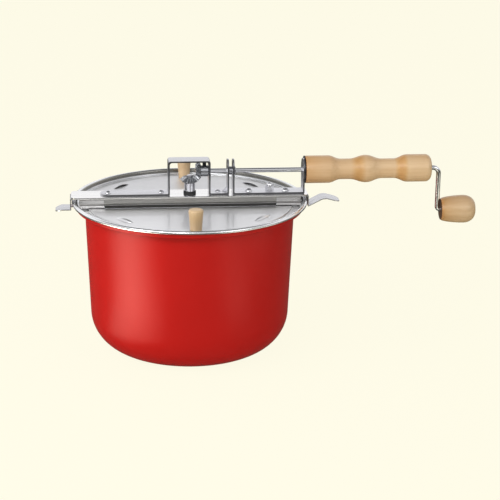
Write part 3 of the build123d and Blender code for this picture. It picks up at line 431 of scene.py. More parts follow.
def turned_tree():
    """Turns a profile about Z: one grid column for each section, each row on a profile point."""
    tree, given = geometry_tree("Turned form", [
        ("Sections", "NodeSocketInt", 96), ("Finish", "NodeSocketMaterial", None)])
    profile = given["Geometry"]
    count = add(tree, "GeometryNodeAttributeDomainSize",
                {"Geometry": profile}).outputs["Point Count"]
    grid = add(tree, "GeometryNodeMeshGrid", {
        "Vertices X": maths(tree, "ADD", given["Sections"], 1.0), "Vertices Y": count})
    index = add(tree, "GeometryNodeInputIndex").outputs[0]
    column = maths(tree, "FLOOR", maths(tree, "DIVIDE", index, count))
    row = maths(tree, "SUBTRACT", index, times(tree, column, count))
    place = add(tree, "GeometryNodeInputPosition").outputs[0]
    sample = add(tree, "GeometryNodeSampleIndex",
                 {"Geometry": profile, "Value": place, "Index": row}, data_type="FLOAT_VECTOR")
    radius, _, height = axes(tree, sample.outputs[0])
    angle = maths(tree, "DIVIDE", times(tree, column, 2 * pi), given["Sections"])
    turned = add(tree, "ShaderNodeCombineXYZ", {
        0: times(tree, radius, maths(tree, "COSINE", angle)),
        1: times(tree, radius, maths(tree, "SINE", angle)), 2: height})
    moved = add(tree, "GeometryNodeSetPosition",
                {"Geometry": grid.outputs["Mesh"], "Position": turned.outputs[0]})
    merged = add(tree, "GeometryNodeMergeByDistance",
                 {"Geometry": moved.outputs[0], "Distance": 0.000001})
    end_tree(tree, merged.outputs[0], given["Finish"])
    return tree


def own_value(tree, name, kind):
    """A value that the piece's own points carry."""
    node = add(tree, "GeometryNodeInputNamedAttribute", {"Name": name}, data_type=kind)
    return node.outputs["Attribute"]


def bent_rod_tree():
    """A round rod along the piece's own line, with a fillet of attribute bend at each corner."""
    tree, given = geometry_tree("Bent rod", [
        ("Radius", "NodeSocketFloat", 0.002), ("Sides", "NodeSocketInt", 32),
        ("Bend Steps", "NodeSocketInt", BEND_STEPS), ("Finish", "NodeSocketMaterial", None)])
    line = add(tree, "GeometryNodeMeshToCurve", {"Mesh": given["Geometry"]})
    rounded = add(tree, "GeometryNodeFilletCurve", {
        "Curve": line.outputs[0], "Radius": own_value(tree, "bend", "FLOAT"),
        "Count": given["Bend Steps"], "Limit Radius": True}, mode="POLY")
    circle = add(tree, "GeometryNodeCurvePrimitiveCircle",
                 {"Resolution": given["Sides"], "Radius": given["Radius"]})
    rod = add(tree, "GeometryNodeCurveToMesh", {
        "Curve": rounded.outputs[0], "Profile Curve": circle.outputs[0], "Fill Caps": True})
    end_tree(tree, rod.outputs[0], given["Finish"])
    return tree


def shape_copies(tree, given, points, **how):
    """Copies of the tree's shape on points, each scaled or turned as how says."""
    shape = add(tree, "GeometryNodeObjectInfo",
                {"Object": given["Shape"], "As Instance": True}, transform_space="ORIGINAL")
    return add(tree, "GeometryNodeInstanceOnPoints", {
        "Points": points, "Instance": shape.outputs["Geometry"], **how}).outputs[0]


def stood_tree():
    """Copies of a shape on the piece's points, each as wide as the point's attribute size."""
    tree, given = geometry_tree("Copies on points", [
        ("Shape", "NodeSocketObject", None), ("Finish", "NodeSocketMaterial", None)])
    size = own_value(tree, "size", "FLOAT_VECTOR")
    copies = shape_copies(tree, given, given["Geometry"], Scale=size)
    end_tree(tree, copies, given["Finish"])
    return tree


def ringed_tree():
    """Copies of a shape turned in equal steps about Z, joined to the piece's own mesh."""
    tree, given = geometry_tree("Copies in a ring", [
        ("Shape", "NodeSocketObject", None), ("Count", "NodeSocketInt", 16),
        ("Start", "NodeSocketFloat", 0.0), ("Finish", "NodeSocketMaterial", None)])
    points = add(tree, "GeometryNodePoints", {"Count": given["Count"]})
    index = add(tree, "GeometryNodeInputIndex").outputs[0]
    step = maths(tree, "DIVIDE", 2 * pi, given["Count"])
    angle = maths(tree, "MULTIPLY_ADD", index, step, given["Start"])
    turn = add(tree, "ShaderNodeCombineXYZ", {2: angle}).outputs[0]
    copies = shape_copies(tree, given, points.outputs[0], Rotation=turn)
    joined = add(tree, "GeometryNodeJoinGeometry")
    for geometry in (copies, given["Geometry"]):
        tree.links.new(geometry, joined.inputs[0])
    end_tree(tree, joined.outputs[0], given["Finish"])
    return tree


TREES = {}


def tree_for(build):
    """A tree, built once."""
    if build not in TREES:
        TREES[build] = build()
    return TREES[build]


# ---- making pieces ----
SAME_POINT = 0.000002
SAME_PLANE = radians(1.0)
ALONG_X = Matrix.Rotation(pi / 2, 4, "Y")


def new_object(name, mesh):
    """An object of a mesh, in the scene."""
    piece = bpy.data.objects.new(name, mesh)
    bpy.context.scene.collection.objects.link(piece)
    return piece


def mesh_from(name, points, edges=(), faces=()):
    """A mesh from points in millimetres."""
    mesh = bpy.data.meshes.new(name)
    mesh.from_pydata([tuple(c * MM for c in p) for p in points], edges, faces)
    return mesh


def line_mesh(name, points):
    """A mesh with an edge from each point to the next one."""
    return mesh_from(name, points, [(n, n + 1) for n in range(len(points) - 1)])


def grown(name, mesh, build, inputs):
    """Runs a geometry node tree on a mesh and keeps the result as a plain mesh."""
    piece = new_object(name, mesh)
    tree = tree_for(build)
    modifier = piece.modifiers.new(tree.name, "NODES")
    modifier.node_group = tree
    for item in tree.interface.items_tree:
        if item.in_out == "INPUT" and item.name in inputs:
            modifier[item.identifier] = inputs[item.name]
    view = bpy.context.evaluated_depsgraph_get()
    result = bpy.data.meshes.new_from_object(piece.evaluated_get(view))
    piece.modifiers.clear()
    piece.data = result
    bpy.data.meshes.remove(mesh)
    result.name = name
    return piece


def smooth_by_angle(piece, limit):
    """Smooth faces, with edges sharper than the angle kept."""
    piece.data.shade_smooth()
    piece.data.set_sharp_from_angle(angle=radians(limit))


def reshaped(mesh, change):
    """Changes a mesh with bmesh."""
    shell = bmesh.new()
    shell.from_mesh(mesh)
    change(shell)
    shell.to_mesh(mesh)
    shell.free()


def outward(shell):
    """Makes every face point out of its closed shell."""
    bmesh.ops.recalc_face_normals(shell, faces=shell.faces)


def joined_flats(shell):
    """Joins doubled points, and flat faces that lie in one plane."""
    bmesh.ops.remove_doubles(shell, verts=shell.verts, dist=SAME_POINT)
    bmesh.ops.dissolve_limit(shell, angle_limit=SAME_PLANE, verts=shell.verts, edges=shell.edges)


def finished(piece, sharp):
    """Points a grown piece's faces outward and smooths them up to an angle."""
    reshaped(piece.data, outward)
    smooth_by_angle(piece, sharp)
    return piece


def lying(x, z):
    """The place of a piece that is turned about a line along X, from a point on that line."""
    return Matrix.Translation(Vector((x, 0, z)) * MM) @ ALONG_X


def turned_piece(name, outline, finish, place=None, sections=96, sharp=34):
    """A closed turned piece from an outline of (radius, height), moved by place."""
    mesh = line_mesh(name, [(r, 0, h) for r, h in [*outline, outline[0]]])
    piece = grown(name, mesh, turned_tree, {"Sections": sections, "Finish": finish})
    if place:
        piece.data.transform(place)
    return finished(piece, sharp)


def bent_rod(name, points, bends, radius, finish, sides):
    """A round rod through points in millimetres, with a bend radius for each point."""
    mesh = line_mesh(name, points)
    mesh.attributes.new("bend", "FLOAT", "POINT").data.foreach_set("value", [b * MM for b in bends])
    piece = grown(name, mesh, bent_rod_tree, {
        "Radius": radius * MM, "Sides": sides, "Bend Steps": BEND_STEPS, "Finish": finish})
    return finished(piece, 40)


def worn(node, finish):
    """Gives a carried-over node its finish."""
    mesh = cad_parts[node].data
    mesh.materials.clear()
    mesh.materials.append(finish)


def seated(piece, body, slot, *nodes):
    """Sets a finished piece on its body in place of nodes."""
    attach(piece, body)
    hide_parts(*nodes)


def eased_copy(node, name, finish, body, slot, edge=0.25):
    """A copy of a node with its flat faces joined and its sharp edges rounded, in its place."""
    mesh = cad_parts[node].data.copy()
    mesh.name = name
    reshaped(mesh, joined_flats)
    mesh.materials.clear()
    mesh.materials.append(finish)
    piece = new_object(name, mesh)
    smooth_by_angle(piece, 32)
    bevel = piece.modifiers.new("Eased edges", "BEVEL")
    bevel.limit_method = "ANGLE"
    bevel.angle_limit = radians(36)
    bevel.width = edge * MM
    bevel.segments = 2
    bevel.use_clamp_overlap = True
    bevel.harden_normals = True
    seated(piece, body, slot, node)


# ---- pan ----
PAN_BASE = 2.2
PAN_WALL = 1.6
FOOT_R = 40.0
DRAFT_DEGREES = 2.4
DRAFT = radians(DRAFT_DEGREES)
FLOOR_RINGS = (0, 20, 40)
WALL_RINGS = (70, 105, 135)
LEDGE_Z = LID_LOW.z
BODY_R = RIM_R - 13.05
LIP_IN_R = RIM_R - 5.05
LIP_EDGE_R = 2.3
LIP_SHEET = 1.4
HEM_R = 0.7
HEM_Z = LIP_TOP - 3.4
# Painted shade on the inner wall of the rolled lip.
LIP_WALL_SHADE = (0.24, 0.235, 0.215)


def wall_line(share, top_z):
    """The pan's section from its middle up to the ledge, at a share of the wall's thickness."""
    corner = FOOT_R - share * PAN_BASE
    low_r = BODY_R - LEDGE_Z * tan(DRAFT) - share * (PAN_WALL - PAN_BASE * tan(DRAFT))
    floor = share * PAN_BASE
    middle_r = low_r - corner * (1 - sin(DRAFT)) / cos(DRAFT)
    turn = arc_points((middle_r, floor + corner), corner, -90, -DRAFT_DEGREES, 22)
    top_r = low_r + (top_z - floor) * tan(DRAFT)
    rising = [(low_r + (z - floor) * tan(DRAFT), z) for z in WALL_RINGS]
    flat = [(r, floor) for r in FLOOR_RINGS]
    return [*flat, *turn, *rising, (top_r, top_z)]


def between_lines(inner, outer):
    """A closed outline from a line and the line outside it."""
    return [*outer, *reversed(inner)]


def lip_outline():
    """The rolled lip with its hem, and the ledge for the lids."""
    outer, inner = [(r, LIP_TOP - LIP_EDGE_R) for r in (RIM_R - LIP_EDGE_R, LIP_IN_R + LIP_EDGE_R)]
    crown = [*arc_points(outer, LIP_EDGE_R, 0, 90, 8), *arc_points(inner, LIP_EDGE_R, 90, 180, 8)]
    under = LIP_EDGE_R - LIP_SHEET
    hollow = [*reversed(arc_points(inner, under, 90, 180, 5)),
              *reversed(arc_points(outer, under, 0, 90, 5))]
    hem = arc_points((RIM_R - HEM_R, HEM_Z + HEM_R), HEM_R, 180, 360, 8)
    seat = [(LIP_IN_R, LEDGE_Z + 0.4), (LIP_IN_R - 0.4, LEDGE_Z), (BODY_R - 1.0, LEDGE_Z)]
    below = [*arc_points((BODY_R - 0.8, LEDGE_Z - 0.7), 0.7, 100, 200, 4),
             (BODY_R + 0.1, LEDGE_Z - 1.4), (BODY_R + 2.0, LEDGE_Z - 0.8),
             (LIP_IN_R + 0.3, LEDGE_Z - 0.8), (LIP_IN_R + 0.7, LEDGE_Z - 0.4)]
    return [*crown, *seat, *below, *hollow, *hem]


def shoulder_outline():
    """The thin enamelled skin under the ledge, from the wall out to the lip's hollow."""
    top_z = HEM_Z + 0.9
    return [(BODY_R - 0.6, LEDGE_Z - 1.9), (BODY_R + 2.2, LEDGE_Z - 1.25),
            (LIP_IN_R + 0.7, LEDGE_Z - 1.25), (LIP_IN_R + 1.15, LEDGE_Z - 0.8),
            (LIP_IN_R + 1.8, top_z), (LIP_IN_R + 1.5, top_z),
            (LIP_IN_R + 0.8, LEDGE_Z - 0.9), (BODY_R + 2.1, LEDGE_Z - 0.95),
            (BODY_R - 0.6, LEDGE_Z - 1.55)]


def make_pan_pieces(look):
    """The enamelled wall, the bare lining inside it, the bright rolled lip and its shoulder."""
    enamel = red_enamel(look.red)
    bare = spun_aluminium("pan_lining", look.aluminium, 0.34)
    # Painted shade on the inside wall of the rolled lip.
    shaded_wall = (LIP_WALL_SHADE, LIP_IN_R + 1.6, LEDGE_Z + 2.4, LIP_TOP - 0.5)
    bright = spun_aluminium("pan_lip", look.lip, 0.18, shaded_wall)
    wall = between_lines(wall_line(0.55, LEDGE_Z - 1.5), wall_line(0.0, LEDGE_Z - 1.45))
    lining = between_lines(wall_line(1.0, LEDGE_Z - 0.9), wall_line(0.6, LEDGE_Z - 1.5))
    for name, outline, finish, slot in (
            ("pan_wall", wall, enamel, "red_paint"), ("pan_lining", lining, bare, "lid_sheet"),
            ("pan_lip", lip_outline(), bright, "lid_sheet"),
            ("pan_shoulder", shoulder_outline(), enamel, "red_paint")):
        piece = turned_piece(name, outline, finish, sections=look.pan_sections)
        seated(piece, "popper", slot, "pan")


# ---- lids ----
def make_lids(look):
    """The sheet and wires of the two half lids."""
    for side, *skin in (("front", 0.34, 0.04, 0.0005, 0.5), ("back", 0.44, 0.10, 0.0009, 0.0)):
        worn(f"{side}_half_lid", rolled_sheet(f"{side}_lid_sheet", look.lid, *skin))
    wire = drawn_steel("hinge_wire_steel", (0.74, 0.75, 0.77), (0.5, 0.5, 0.52), 0.14)
    for side in ("front", "back"):
        low, high = span(f"{side}_hinge_wire")
        middle = (low + high) / 2
        line = [(low.x, middle.y, middle.z), (high.x, middle.y, middle.z)]
        piece = bent_rod(f"{side}_wire", line, [0, 0], (high.z - low.z) / 2, wire, 20)
        seated(piece, "popper", "chrome", f"{side}_hinge_wire")


def make_lid_knobs(look):
    """The two turned maple knobs and the screws that hold them."""
    bore, bore_top = 1.5, 11.0
    foot_edge, crown_edge, taper = 0.6, 2.3, 1.4
    screw = drawn_steel("screw_steel", (0.62, 0.62, 0.64), (0.4, 0.4, 0.42), 0.25)
    for side in ("front", "back"):
        low, high = span(f"{side}_lid_knob")
        middle = (low + high) / 2
        height = high.z - low.z
        top_r = (high.x - low.x) / 2
        foot_r = top_r - taper
        rim = [(foot_r - foot_edge, 0),
               *arc_points((foot_r - foot_edge, foot_edge), foot_edge, -70, 0, 4)]
        flank = [(foot_r + (top_r - foot_r) * share ** 1.25, foot_edge + (height - 2.9) * share)
                 for share in (0.25, 0.5, 0.75, 1.0)]
        crown = arc_points((top_r - crown_edge, height - crown_edge), crown_edge, 4, 84, 9)
        outline = [*rim, *flank, *crown, (top_r * 0.45, height - 0.02), (0.0, height),
                   (0.0, bore_top), (bore, bore_top), (bore, 0)]
        grain_at = (low.x * MM + 0.004, (middle.y + 6) * MM, middle.z * MM)
        wood = turned_maple(f"{side}_knob_maple", look.knob_pale, look.knob_deep, 2, grain_at)
        place = Matrix.Translation(Vector((middle.x, middle.y, low.z)) * MM)
        knob = turned_piece(f"{side}_knob", outline, wood, place, 72, 40)
        seated(knob, f"{side}_lid", "wood", f"{side}_lid_knob")
        worn(f"{side}_knob_screw", screw)


# ---- straps, crossbar and clips ----
def make_straps(look):
    """The crossbar, its keepers, both folded straps and the two clips."""
    # The crossbar's front and back flanges look along Y and get a painted shade.
    bar = drawn_steel("crossbar_steel", look.bar, scaled(look.bar, 0.84), 0.12,
                      cut_edge_and_shade=(0.34, 0.332, 0.312))
    keeper = drawn_steel("keeper_steel", (0.70, 0.69, 0.68), (0.46, 0.45, 0.44), 0.24)
    strap = drawn_steel("strap_steel", look.strap, scaled(look.strap, 0.72), 0.22,
                        (40, 1100, 40), (0.12, 0.12, 0.125))
    clip = drawn_steel("clip_steel", (0.68, 0.68, 0.70), (0.44, 0.44, 0.46), 0.2)
    for node, name, finish, slot, edge in (
            ("crossbar", "crossbar_plate", bar, "bar_steel", 0.3),
            ("hinge_keepers", "keepers", keeper, "bar_steel", 0.15),
            ("gear_bracket", "gear_strap", strap, "strap_steel", 0.22),
            ("handle_bracket", "handle_strap", strap, "strap_steel", 0.22)):
        eased_copy(node, name, finish, "popper", slot, edge)
    for side in ("left", "right"):
        eased_copy(f"{side}_clip", f"{side}_clip_spring", clip, f"{side}_latch",
                   "strap_steel", 0.15)


# ---- copies of small parts ----
COPY_SECTIONS = 36


def copies_on(name, points, sizes, outline, finish):
    """One piece of turned shapes, a copy on each point, scaled by its size."""
    shape = turned_piece(f"{name}_shape", outline, finish, sections=COPY_SECTIONS)
    mesh = mesh_from(name, points)
    flat = [part for size in sizes for part in (size,) * 3]
    mesh.attributes.new("size", "FLOAT_VECTOR", "POINT").data.foreach_set("vector", flat)
    piece = grown(name, mesh, stood_tree, {"Shape": shape, "Finish": finish})
    bpy.data.objects.remove(shape)
    return finished(piece, 34)


HEAD_W = 10.0
HEAD_RISE = 0.32 * HEAD_W
SHANK_R = 1.9
RIVET_FOOT_R = 3.2
RIVET_FOOT_T = 1.1
STRAP_T = 1.6
BAR_T = 1.2


def head_outline():
    """A domed rivet head, 10 mm wide, on a short stub."""
    ball = (HEAD_W ** 2 / 4 + HEAD_RISE ** 2) / (2 * HEAD_RISE)
    sunk = HEAD_RISE - ball
    cap = arc_points((0, sunk), ball, 90 - degrees(acos(-sunk / ball)), 90, 12)
    return [(0, -1.0), (SHANK_R, -1.0), (SHANK_R, 0.0), (cap[0][0] - 0.25, 0.0), *cap[:-1],
            (0, HEAD_RISE)]


def foot_outline(stem):
    """A rivet's flat foot with the shank that comes down through the bar."""
    return [(0, 0), (RIVET_FOOT_R - 0.3, 0), (RIVET_FOOT_R, 0.3), (RIVET_FOOT_R, RIVET_FOOT_T),
            (SHANK_R, RIVET_FOOT_T), (SHANK_R, stem), (0, stem)]


def make_rivets():
    """Domed heads on the straps and flat feet under the crossbar, each set on its points."""
    steel = drawn_steel("rivet_steel", (0.80, 0.80, 0.82), (0.60, 0.60, 0.62), 0.16,
                        (260, 260, 260))
    strap_top = span("handle_bracket")[0].z + STRAP_T
    for node in ("strap_rivets", "clip_rivets"):
        places = solids_along_x(node)
        middles = [((low + high) / 2).x for low, high in places]
        stem = BAR_TOP - BAR_T - places[0][0].z
        widths = [(high.z - strap_top) / HEAD_RISE for _, high in places]
        heads = [(x, 0, strap_top) for x in middles]
        feet = [(x, 0, low.z) for x, (low, _) in zip(middles, places)]
        kind = node.split("_")[0]
        for part, points, sizes, outline in (("heads", heads, widths, head_outline()),
                                             ("feet", feet, [1.0] * len(feet), foot_outline(stem))):
            piece = copies_on(f"{kind}_rivet_{part}", points, sizes, outline, steel)
            seated(piece, "popper", "chrome", node)
    eased_copy("cap_nut", "cap_nut_bright", steel, "popper", "chrome")
    worn("bracket_stud", steel)


# ---- gears ----
GEAR_TEETH = 16
GEAR_MODULE = 1.15
GEAR_R = GEAR_TEETH * GEAR_MODULE / 2
GEAR_FACE = 4.2
GEAR_SMALL = 1.0 - GEAR_FACE / (GEAR_R * sqrt(2))
GEAR_PLAY = 0.3
TOOTH_TIP = GEAR_MODULE - 0.12
TOOTH_ROOT = GEAR_MODULE + 0.12
TOOTH_SLOPE = tan(radians(20))
GEAR_BACK = 11.1


def tooth_mesh(name):
    """One straight tooth of a bevel gear about +Z whose cone ends at the origin."""
    half = (pi * GEAR_MODULE / 2 - GEAR_PLAY) / 2
    side_points = [
        (half + TOOTH_ROOT * TOOTH_SLOPE, -TOOTH_ROOT * 1.25),
        (half + 0.04, -0.1),
        (half - TOOTH_TIP * TOOTH_SLOPE * 0.75, TOOTH_TIP * 0.7),
        (half - TOOTH_TIP * TOOTH_SLOPE - 0.05, TOOTH_TIP),
    ]
    section = [*side_points, *[(-u, v) for u, v in reversed(side_points)]]
    points = []
    for scale in (GEAR_SMALL, 1.0):
        for u, v in section:
            at = GEAR_R * scale
            rise = v * scale / sqrt(2)
            points.append((at + rise, u * scale, at - rise))
    count = len(section)
    faces = [tuple(range(count)), tuple(reversed(range(count, 2 * count)))]
    faces += [(n, n + count, (n + 1) % count + count, (n + 1) % count) for n in range(count)]
    return mesh_from(name, points, (), faces)


def gear_core(bore, hub_r, hub_end):
    """A bevel gear's blank about +Z, with its bore and hub."""
    drop = TOOTH_ROOT / sqrt(2)
    big_r, big_z = GEAR_R - drop, GEAR_R + drop
    small_r, small_z = big_r * GEAR_SMALL, big_z * GEAR_SMALL
    return [(bore, small_z + 0.2), (bore + 0.3, small_z), (small_r, small_z), (big_r, big_z),
            (big_r, GEAR_BACK - 0.8), (big_r - 0.8, GEAR_BACK), (hub_r, GEAR_BACK),
            (hub_r, hub_end - 0.5), (hub_r - 0.5, hub_end), (bore + 0.4, hub_end),
            (bore, hub_end - 0.4)]


def gear_piece(name, bore, hub_r, hub_end, start, place, finish):
    """A bevel gear: its blank with a ring of teeth."""
    tooth = new_object(f"{name}_tooth", tooth_mesh(f"{name}_tooth"))
    blank = turned_piece(f"{name}_blank", gear_core(bore, hub_r, hub_end), finish, sections=64)
    piece = grown(name, blank.data.copy(), ringed_tree, {
        "Shape": tooth, "Count": GEAR_TEETH, "Start": start, "Finish": finish})
    for scratch in (tooth, blank):
        bpy.data.objects.remove(scratch)
    piece.data.transform(place)
    return finished(piece, 28)


def make_gears(look):
    """The two bevel gears with the set screw in the crank gear's hub."""
    steel = sintered_steel(look.gear)
    apex = Matrix.Translation((0, 0, ROD_Z * MM))
    down = apex @ Matrix.Rotation(pi, 4, "X")
    for name, node, body, bore, hub_r, hub_end, start, place in (
            ("stirrer_gear", "stir_gear", "stirrer", 3.0, 7.6, ROD_Z - STIR_GEAR_FOOT,
             pi / GEAR_TEETH, down),
            ("crank_rod_gear", "crank_gear", "crank", 2.4, 5.7, CRANK_GEAR_END,
             0.0, apex @ ALONG_X)):
        gear = gear_piece(name, bore, hub_r, hub_end, start, place, steel)
        seated(gear, body, "gear_steel", node)
    eased_copy("gear_set_screw", "set_screw", blackened_steel((0.025, 0.025, 0.028)),
               "crank", "dark_steel", 0.15)


# ---- crank and stirrer ----
PIN_R = 3.4
ELBOW_R = 6.0
KNOB_WIDEST = 24.0
KNOB_FACE_R = 11.3
KNOB_NOSE_R = 4.5
PLUG_R = 5.5
PLUG_ROOM = 10.4


def crank_knob_outline(length, max_r, bore):
    """The crank knob: a flat face, a swell to its widest, a round end, and room for the plug."""
    face_r, widest = KNOB_FACE_R, KNOB_WIDEST
    swell = bezier((face_r, 0), (face_r + (max_r - face_r) * 0.75, widest * 0.25),
                   (max_r, widest * 0.75), (max_r, widest), 20)
    square = widest + (length - widest) * 0.62
    end = bezier((max_r, widest), (max_r, square), (KNOB_NOSE_R + 5.58, length),
                 (KNOB_NOSE_R, length), 28)
    end = [p for p in end[1:] if p[0] > PLUG_R + 0.05]
    mouth = length - 0.02
    room = length - PLUG_ROOM
    return [(bore, 0.0), (face_r - 1.2, 0.0), (face_r - 0.35, 0.12), (face_r, 0.7), *swell[2:],
            *end, (PLUG_R + 0.15, mouth - 0.35), (PLUG_R, mouth - 0.6), (PLUG_R, room),
            (bore, room)]


def make_crank(look):
    """The bent crank rod with its collar and push-on nuts, and the wooden knob with its plug."""
    rod_r = (ROD_HIGH.y - ROD_LOW.y) / 2
    arm_x = GRIP_LOW.x - PIN_R
    bright = drawn_steel("crank_rod_steel", look.rod, scaled(look.rod, 0.72), 0.05,
                         (30, 900, 900))
    points = [(ROD_LOW.x, 0, ROD_Z), (arm_x, 0, ROD_Z), (arm_x, 0, GRIP_Z),
              (ROD_HIGH.x, 0, GRIP_Z)]
    rod = bent_rod("crank_rod_bent", points, [0, ELBOW_R, PIN_R, 0], rod_r, bright, look.rod_sides)
    seated(rod, "crank", "chrome", "crank_rod")
    dull = drawn_steel("collar_steel", (0.42, 0.42, 0.44), (0.26, 0.26, 0.28), 0.28,
                       (200, 900, 900))
    for node in ("rod_collar", "rod_push_nut", "knob_push_nut"):
        eased_copy(node, f"{node}_eased", dull, "crank", "dark_steel", 0.12)
    outline = crank_knob_outline(GRIP_HIGH.x - GRIP_LOW.x, (GRIP_HIGH.z - GRIP_LOW.z) / 2,
                                 rod_r + 0.05)
    grain_at = (GRIP_LOW.x * MM, 0.009, GRIP_Z * MM - 0.012)
    wood = turned_maple("crank_knob_maple", scaled(look.wood_pale, 0.9),
                        scaled(look.wood_deep, 0.88), 0, grain_at)
    knob = turned_piece("crank_knob_turned", outline, wood, lying(GRIP_LOW.x, GRIP_Z), 96, 40)
    seated(knob, "crank_grip", "wood", "crank_knob")
    worn("knob_plug", wood)


STIR_WIRE_R = 1.5
STIR_LIFT = 0.9


def make_stirrer():
    """The upright shaft, its collar and the bent wire that sweeps the pan's base."""
    bright = drawn_steel("stirrer_steel", (0.72, 0.73, 0.75), (0.50, 0.50, 0.53), 0.16,
                         (500, 500, 30))
    for node in ("stir_shaft", "shaft_collar"):
        worn(node, bright)
    low = PAN_BASE + STIR_LIFT + STIR_WIRE_R
    corner = FOOT_R - PAN_BASE
    wall_foot = BODY_R - LEDGE_Z * tan(DRAFT) - PAN_WALL
    reach = corner - STIR_LIFT - 2 * STIR_WIRE_R
    rise = radians(48)
    tip_r = wall_foot - corner + reach * sin(rise)
    tip_z = PAN_BASE + corner - reach * cos(rise)
    arm = [(radius * cos(radians(turn)), radius * sin(radians(turn)), z)
           for radius, turn, z in ((12.0, 0.0, low + 3.0), (33.0, -34.0, low),
                                   (57.0, -25.5, low), (tip_r, -8.0, tip_z))]
    points = [*[(-x, -y, z) for x, y, z in reversed(arm)], *arm]
    bends = [0, 9, 12, 6]
    wire = bent_rod("stirring_wire", points, [*bends, *reversed(bends)], STIR_WIRE_R, bright, 20)
    seated(wire, "stirrer", "chrome", "stir_wire")


def make_bearing():
    """The stirrer's bearing with its nut, and the black ring round its foot."""
    steel = drawn_steel("bearing_steel", (0.72, 0.72, 0.74), (0.50, 0.50, 0.53), 0.18,
                        (500, 500, 60))
    eased_copy("stir_bearing", "stirrer_bearing", steel, "popper", "chrome", 0.2)
    eased_copy("bearing_nut", "bearing_clamp_nut", steel, "popper", "strap_steel", 0.2)
    worn("seal_ring", black_rubber((0.012, 0.012, 0.013)))


# ---- handle ----
HANDLE_END_R = 6.0
TUBE_R = 3.6
RECESS_R = 5.0
RECESS_DEEP = 5.0


def handle_outline(length, end_r):
    """The handle's section: flat front, two waists with a bulge between, and a rounded end."""
    waist1, bulge, waist2 = end_r - 3.6, end_r - 0.1, end_r - 4.05
    stations = [(end_r, 0.18), (waist1, 0.285), (waist1, 0.35), (bulge, 0.482),
                (waist2, 0.61), (waist2, 0.70), (end_r, 0.815)]
    outline = [(TUBE_R, 0.0), (end_r - 1.0, 0.0), (end_r - 0.3, 0.3), (end_r, 1.0)]
    for (r0, share0), (r1, share1) in zip(stations, stations[1:]):
        outline += eased((r0, share0 * length), (r1, share1 * length), 0.42, 16 if r0 != r1 else 3)
    cleaned = [outline[0]]
    for point in outline[1:]:
        if hypot(point[0] - cleaned[-1][0], point[1] - cleaned[-1][1]) > 0.001:
            cleaned.append(point)
    rounded = arc_points((end_r - HANDLE_END_R, length - HANDLE_END_R), HANDLE_END_R, 0, 90, 12)
    recess = length - RECESS_DEEP
    return [*cleaned, *rounded, (RECESS_R + 0.3, length), (RECESS_R, length - 0.3),
            (RECESS_R, recess), (TUBE_R, recess)]


def make_handle(look):
    """The turned handle with two waists, the dark ferrule at its front and the tube inside."""
    outline = handle_outline(HANDLE_HIGH.x - HANDLE_LOW.x, (HANDLE_HIGH.z - HANDLE_LOW.z) / 2)
    grain_at = ((HANDLE_LOW.x + HANDLE_HIGH.x) / 2 * MM, 0.011, ROD_Z * MM - 0.010)
    wood = turned_maple("handle_maple", look.wood_pale, look.wood_deep, 0, grain_at)
    handle = turned_piece("handle_turned", outline, wood, lying(HANDLE_LOW.x, ROD_Z), 112, 50)
    seated(handle, "popper", "wood", "handle")
    eased_copy("handle_ferrule", "ferrule_disc", blackened_steel((0.03, 0.03, 0.032)),
               "popper", "dark_steel", 0.2)
    tube = drawn_steel("tube_steel", (0.56, 0.56, 0.58), (0.38, 0.38, 0.4), 0.25)
    eased_copy("handle_tube", "tube_liner", tube, "popper", "strap_steel", 0.15)


# ---- stage ----
AIM = Vector((0.0629, 0.0, 0.1007))
CAMERA_FAR = 1.77483
CAMERA_AZIMUTH = radians(-5.727)
CAMERA_RISE = radians(17.647)
CAMERA_ROLL = radians(0.669)
CAMERA_LENS = 122.73
CAMERA_SENSOR = 36.0

# name, azimuth, rise, distance, width, height, power's property, seen in bright metal
SOFTBOXES = (
    ("Left softbox", -74, 22, 1.6, 0.8, 1.1, "left_lamp", False),
    ("Right softbox", 38, 24, 1.9, 0.8, 0.8, "right_lamp", True),
    ("Front softbox", -35, 36, 1.8, 1.5, 0.45, "front_lamp", True),
    ("Overhead softbox", -10, 82, 1.7, 1.6, 0.9, "top_lamp", False),
)
# x, y and reach in metres, and how much lighter the paper is in bright metal there: glowing
# patches, seen only in reflections, that paint highlights on the pan and metal
PAINTED_HIGHLIGHT_PATCHES = ((-0.44, -0.21, 0.24, 11.5), (-0.21, -0.15, 0.14, 9.5), (-0.05, -0.50, 0.11, 0.4),
             (0.28, -0.40, 0.16, 2.2), (0.19, -0.22, 0.10, 2.2), (0.62, -0.32, 0.34, 2.2))
# sine of the rise and level, for the half of the room on the camera's side and the other half
ROOM_FRONT = ((0.0, 0.08), (0.14, 0.10), (0.26, 0.85), (0.84, 0.85), (0.90, 0.16), (1.0, 0.16))
ROOM_BACK = ((0.0, 0.70), (0.08, 1.05), (0.62, 1.05), (0.72, 0.16), (0.95, 0.16), (1.0, 0.16))


def direction(azimuth, rise):
    """A unit vector at an angle round Z from the front, and above the floor."""
    return Vector((sin(azimuth) * cos(rise), -cos(azimuth) * cos(rise), sin(rise)))


def facing(place, aim, roll=0.0):
    """A matrix at a place that looks at an aim, turned by roll."""
    back = (place - aim).normalized()
    right = Vector((0, 0, 1)).cross(back).normalized()
    up = back.cross(right)
    right, up = right * cos(roll) + up * sin(roll), up * cos(roll) - right * sin(roll)
    turn = Matrix((right, up, back)).transposed().to_4x4()
    return Matrix.Translation(place) @ turn


def softbox(name, azimuth, rise, far, width, height, power, in_metal):
    """An area lamp that looks at the middle of the popper."""
    lamp = bpy.data.lights.new(name, "AREA")
    lamp.shape = "RECTANGLE"
    lamp.size, lamp.size_y = width, height
    lamp.energy = power
    stand = new_object(name, lamp)
    stand.visible_camera = False
    stand.visible_glossy = in_metal
    stand.matrix_world = facing(AIM + direction(radians(azimuth), radians(rise)) * far, AIM)


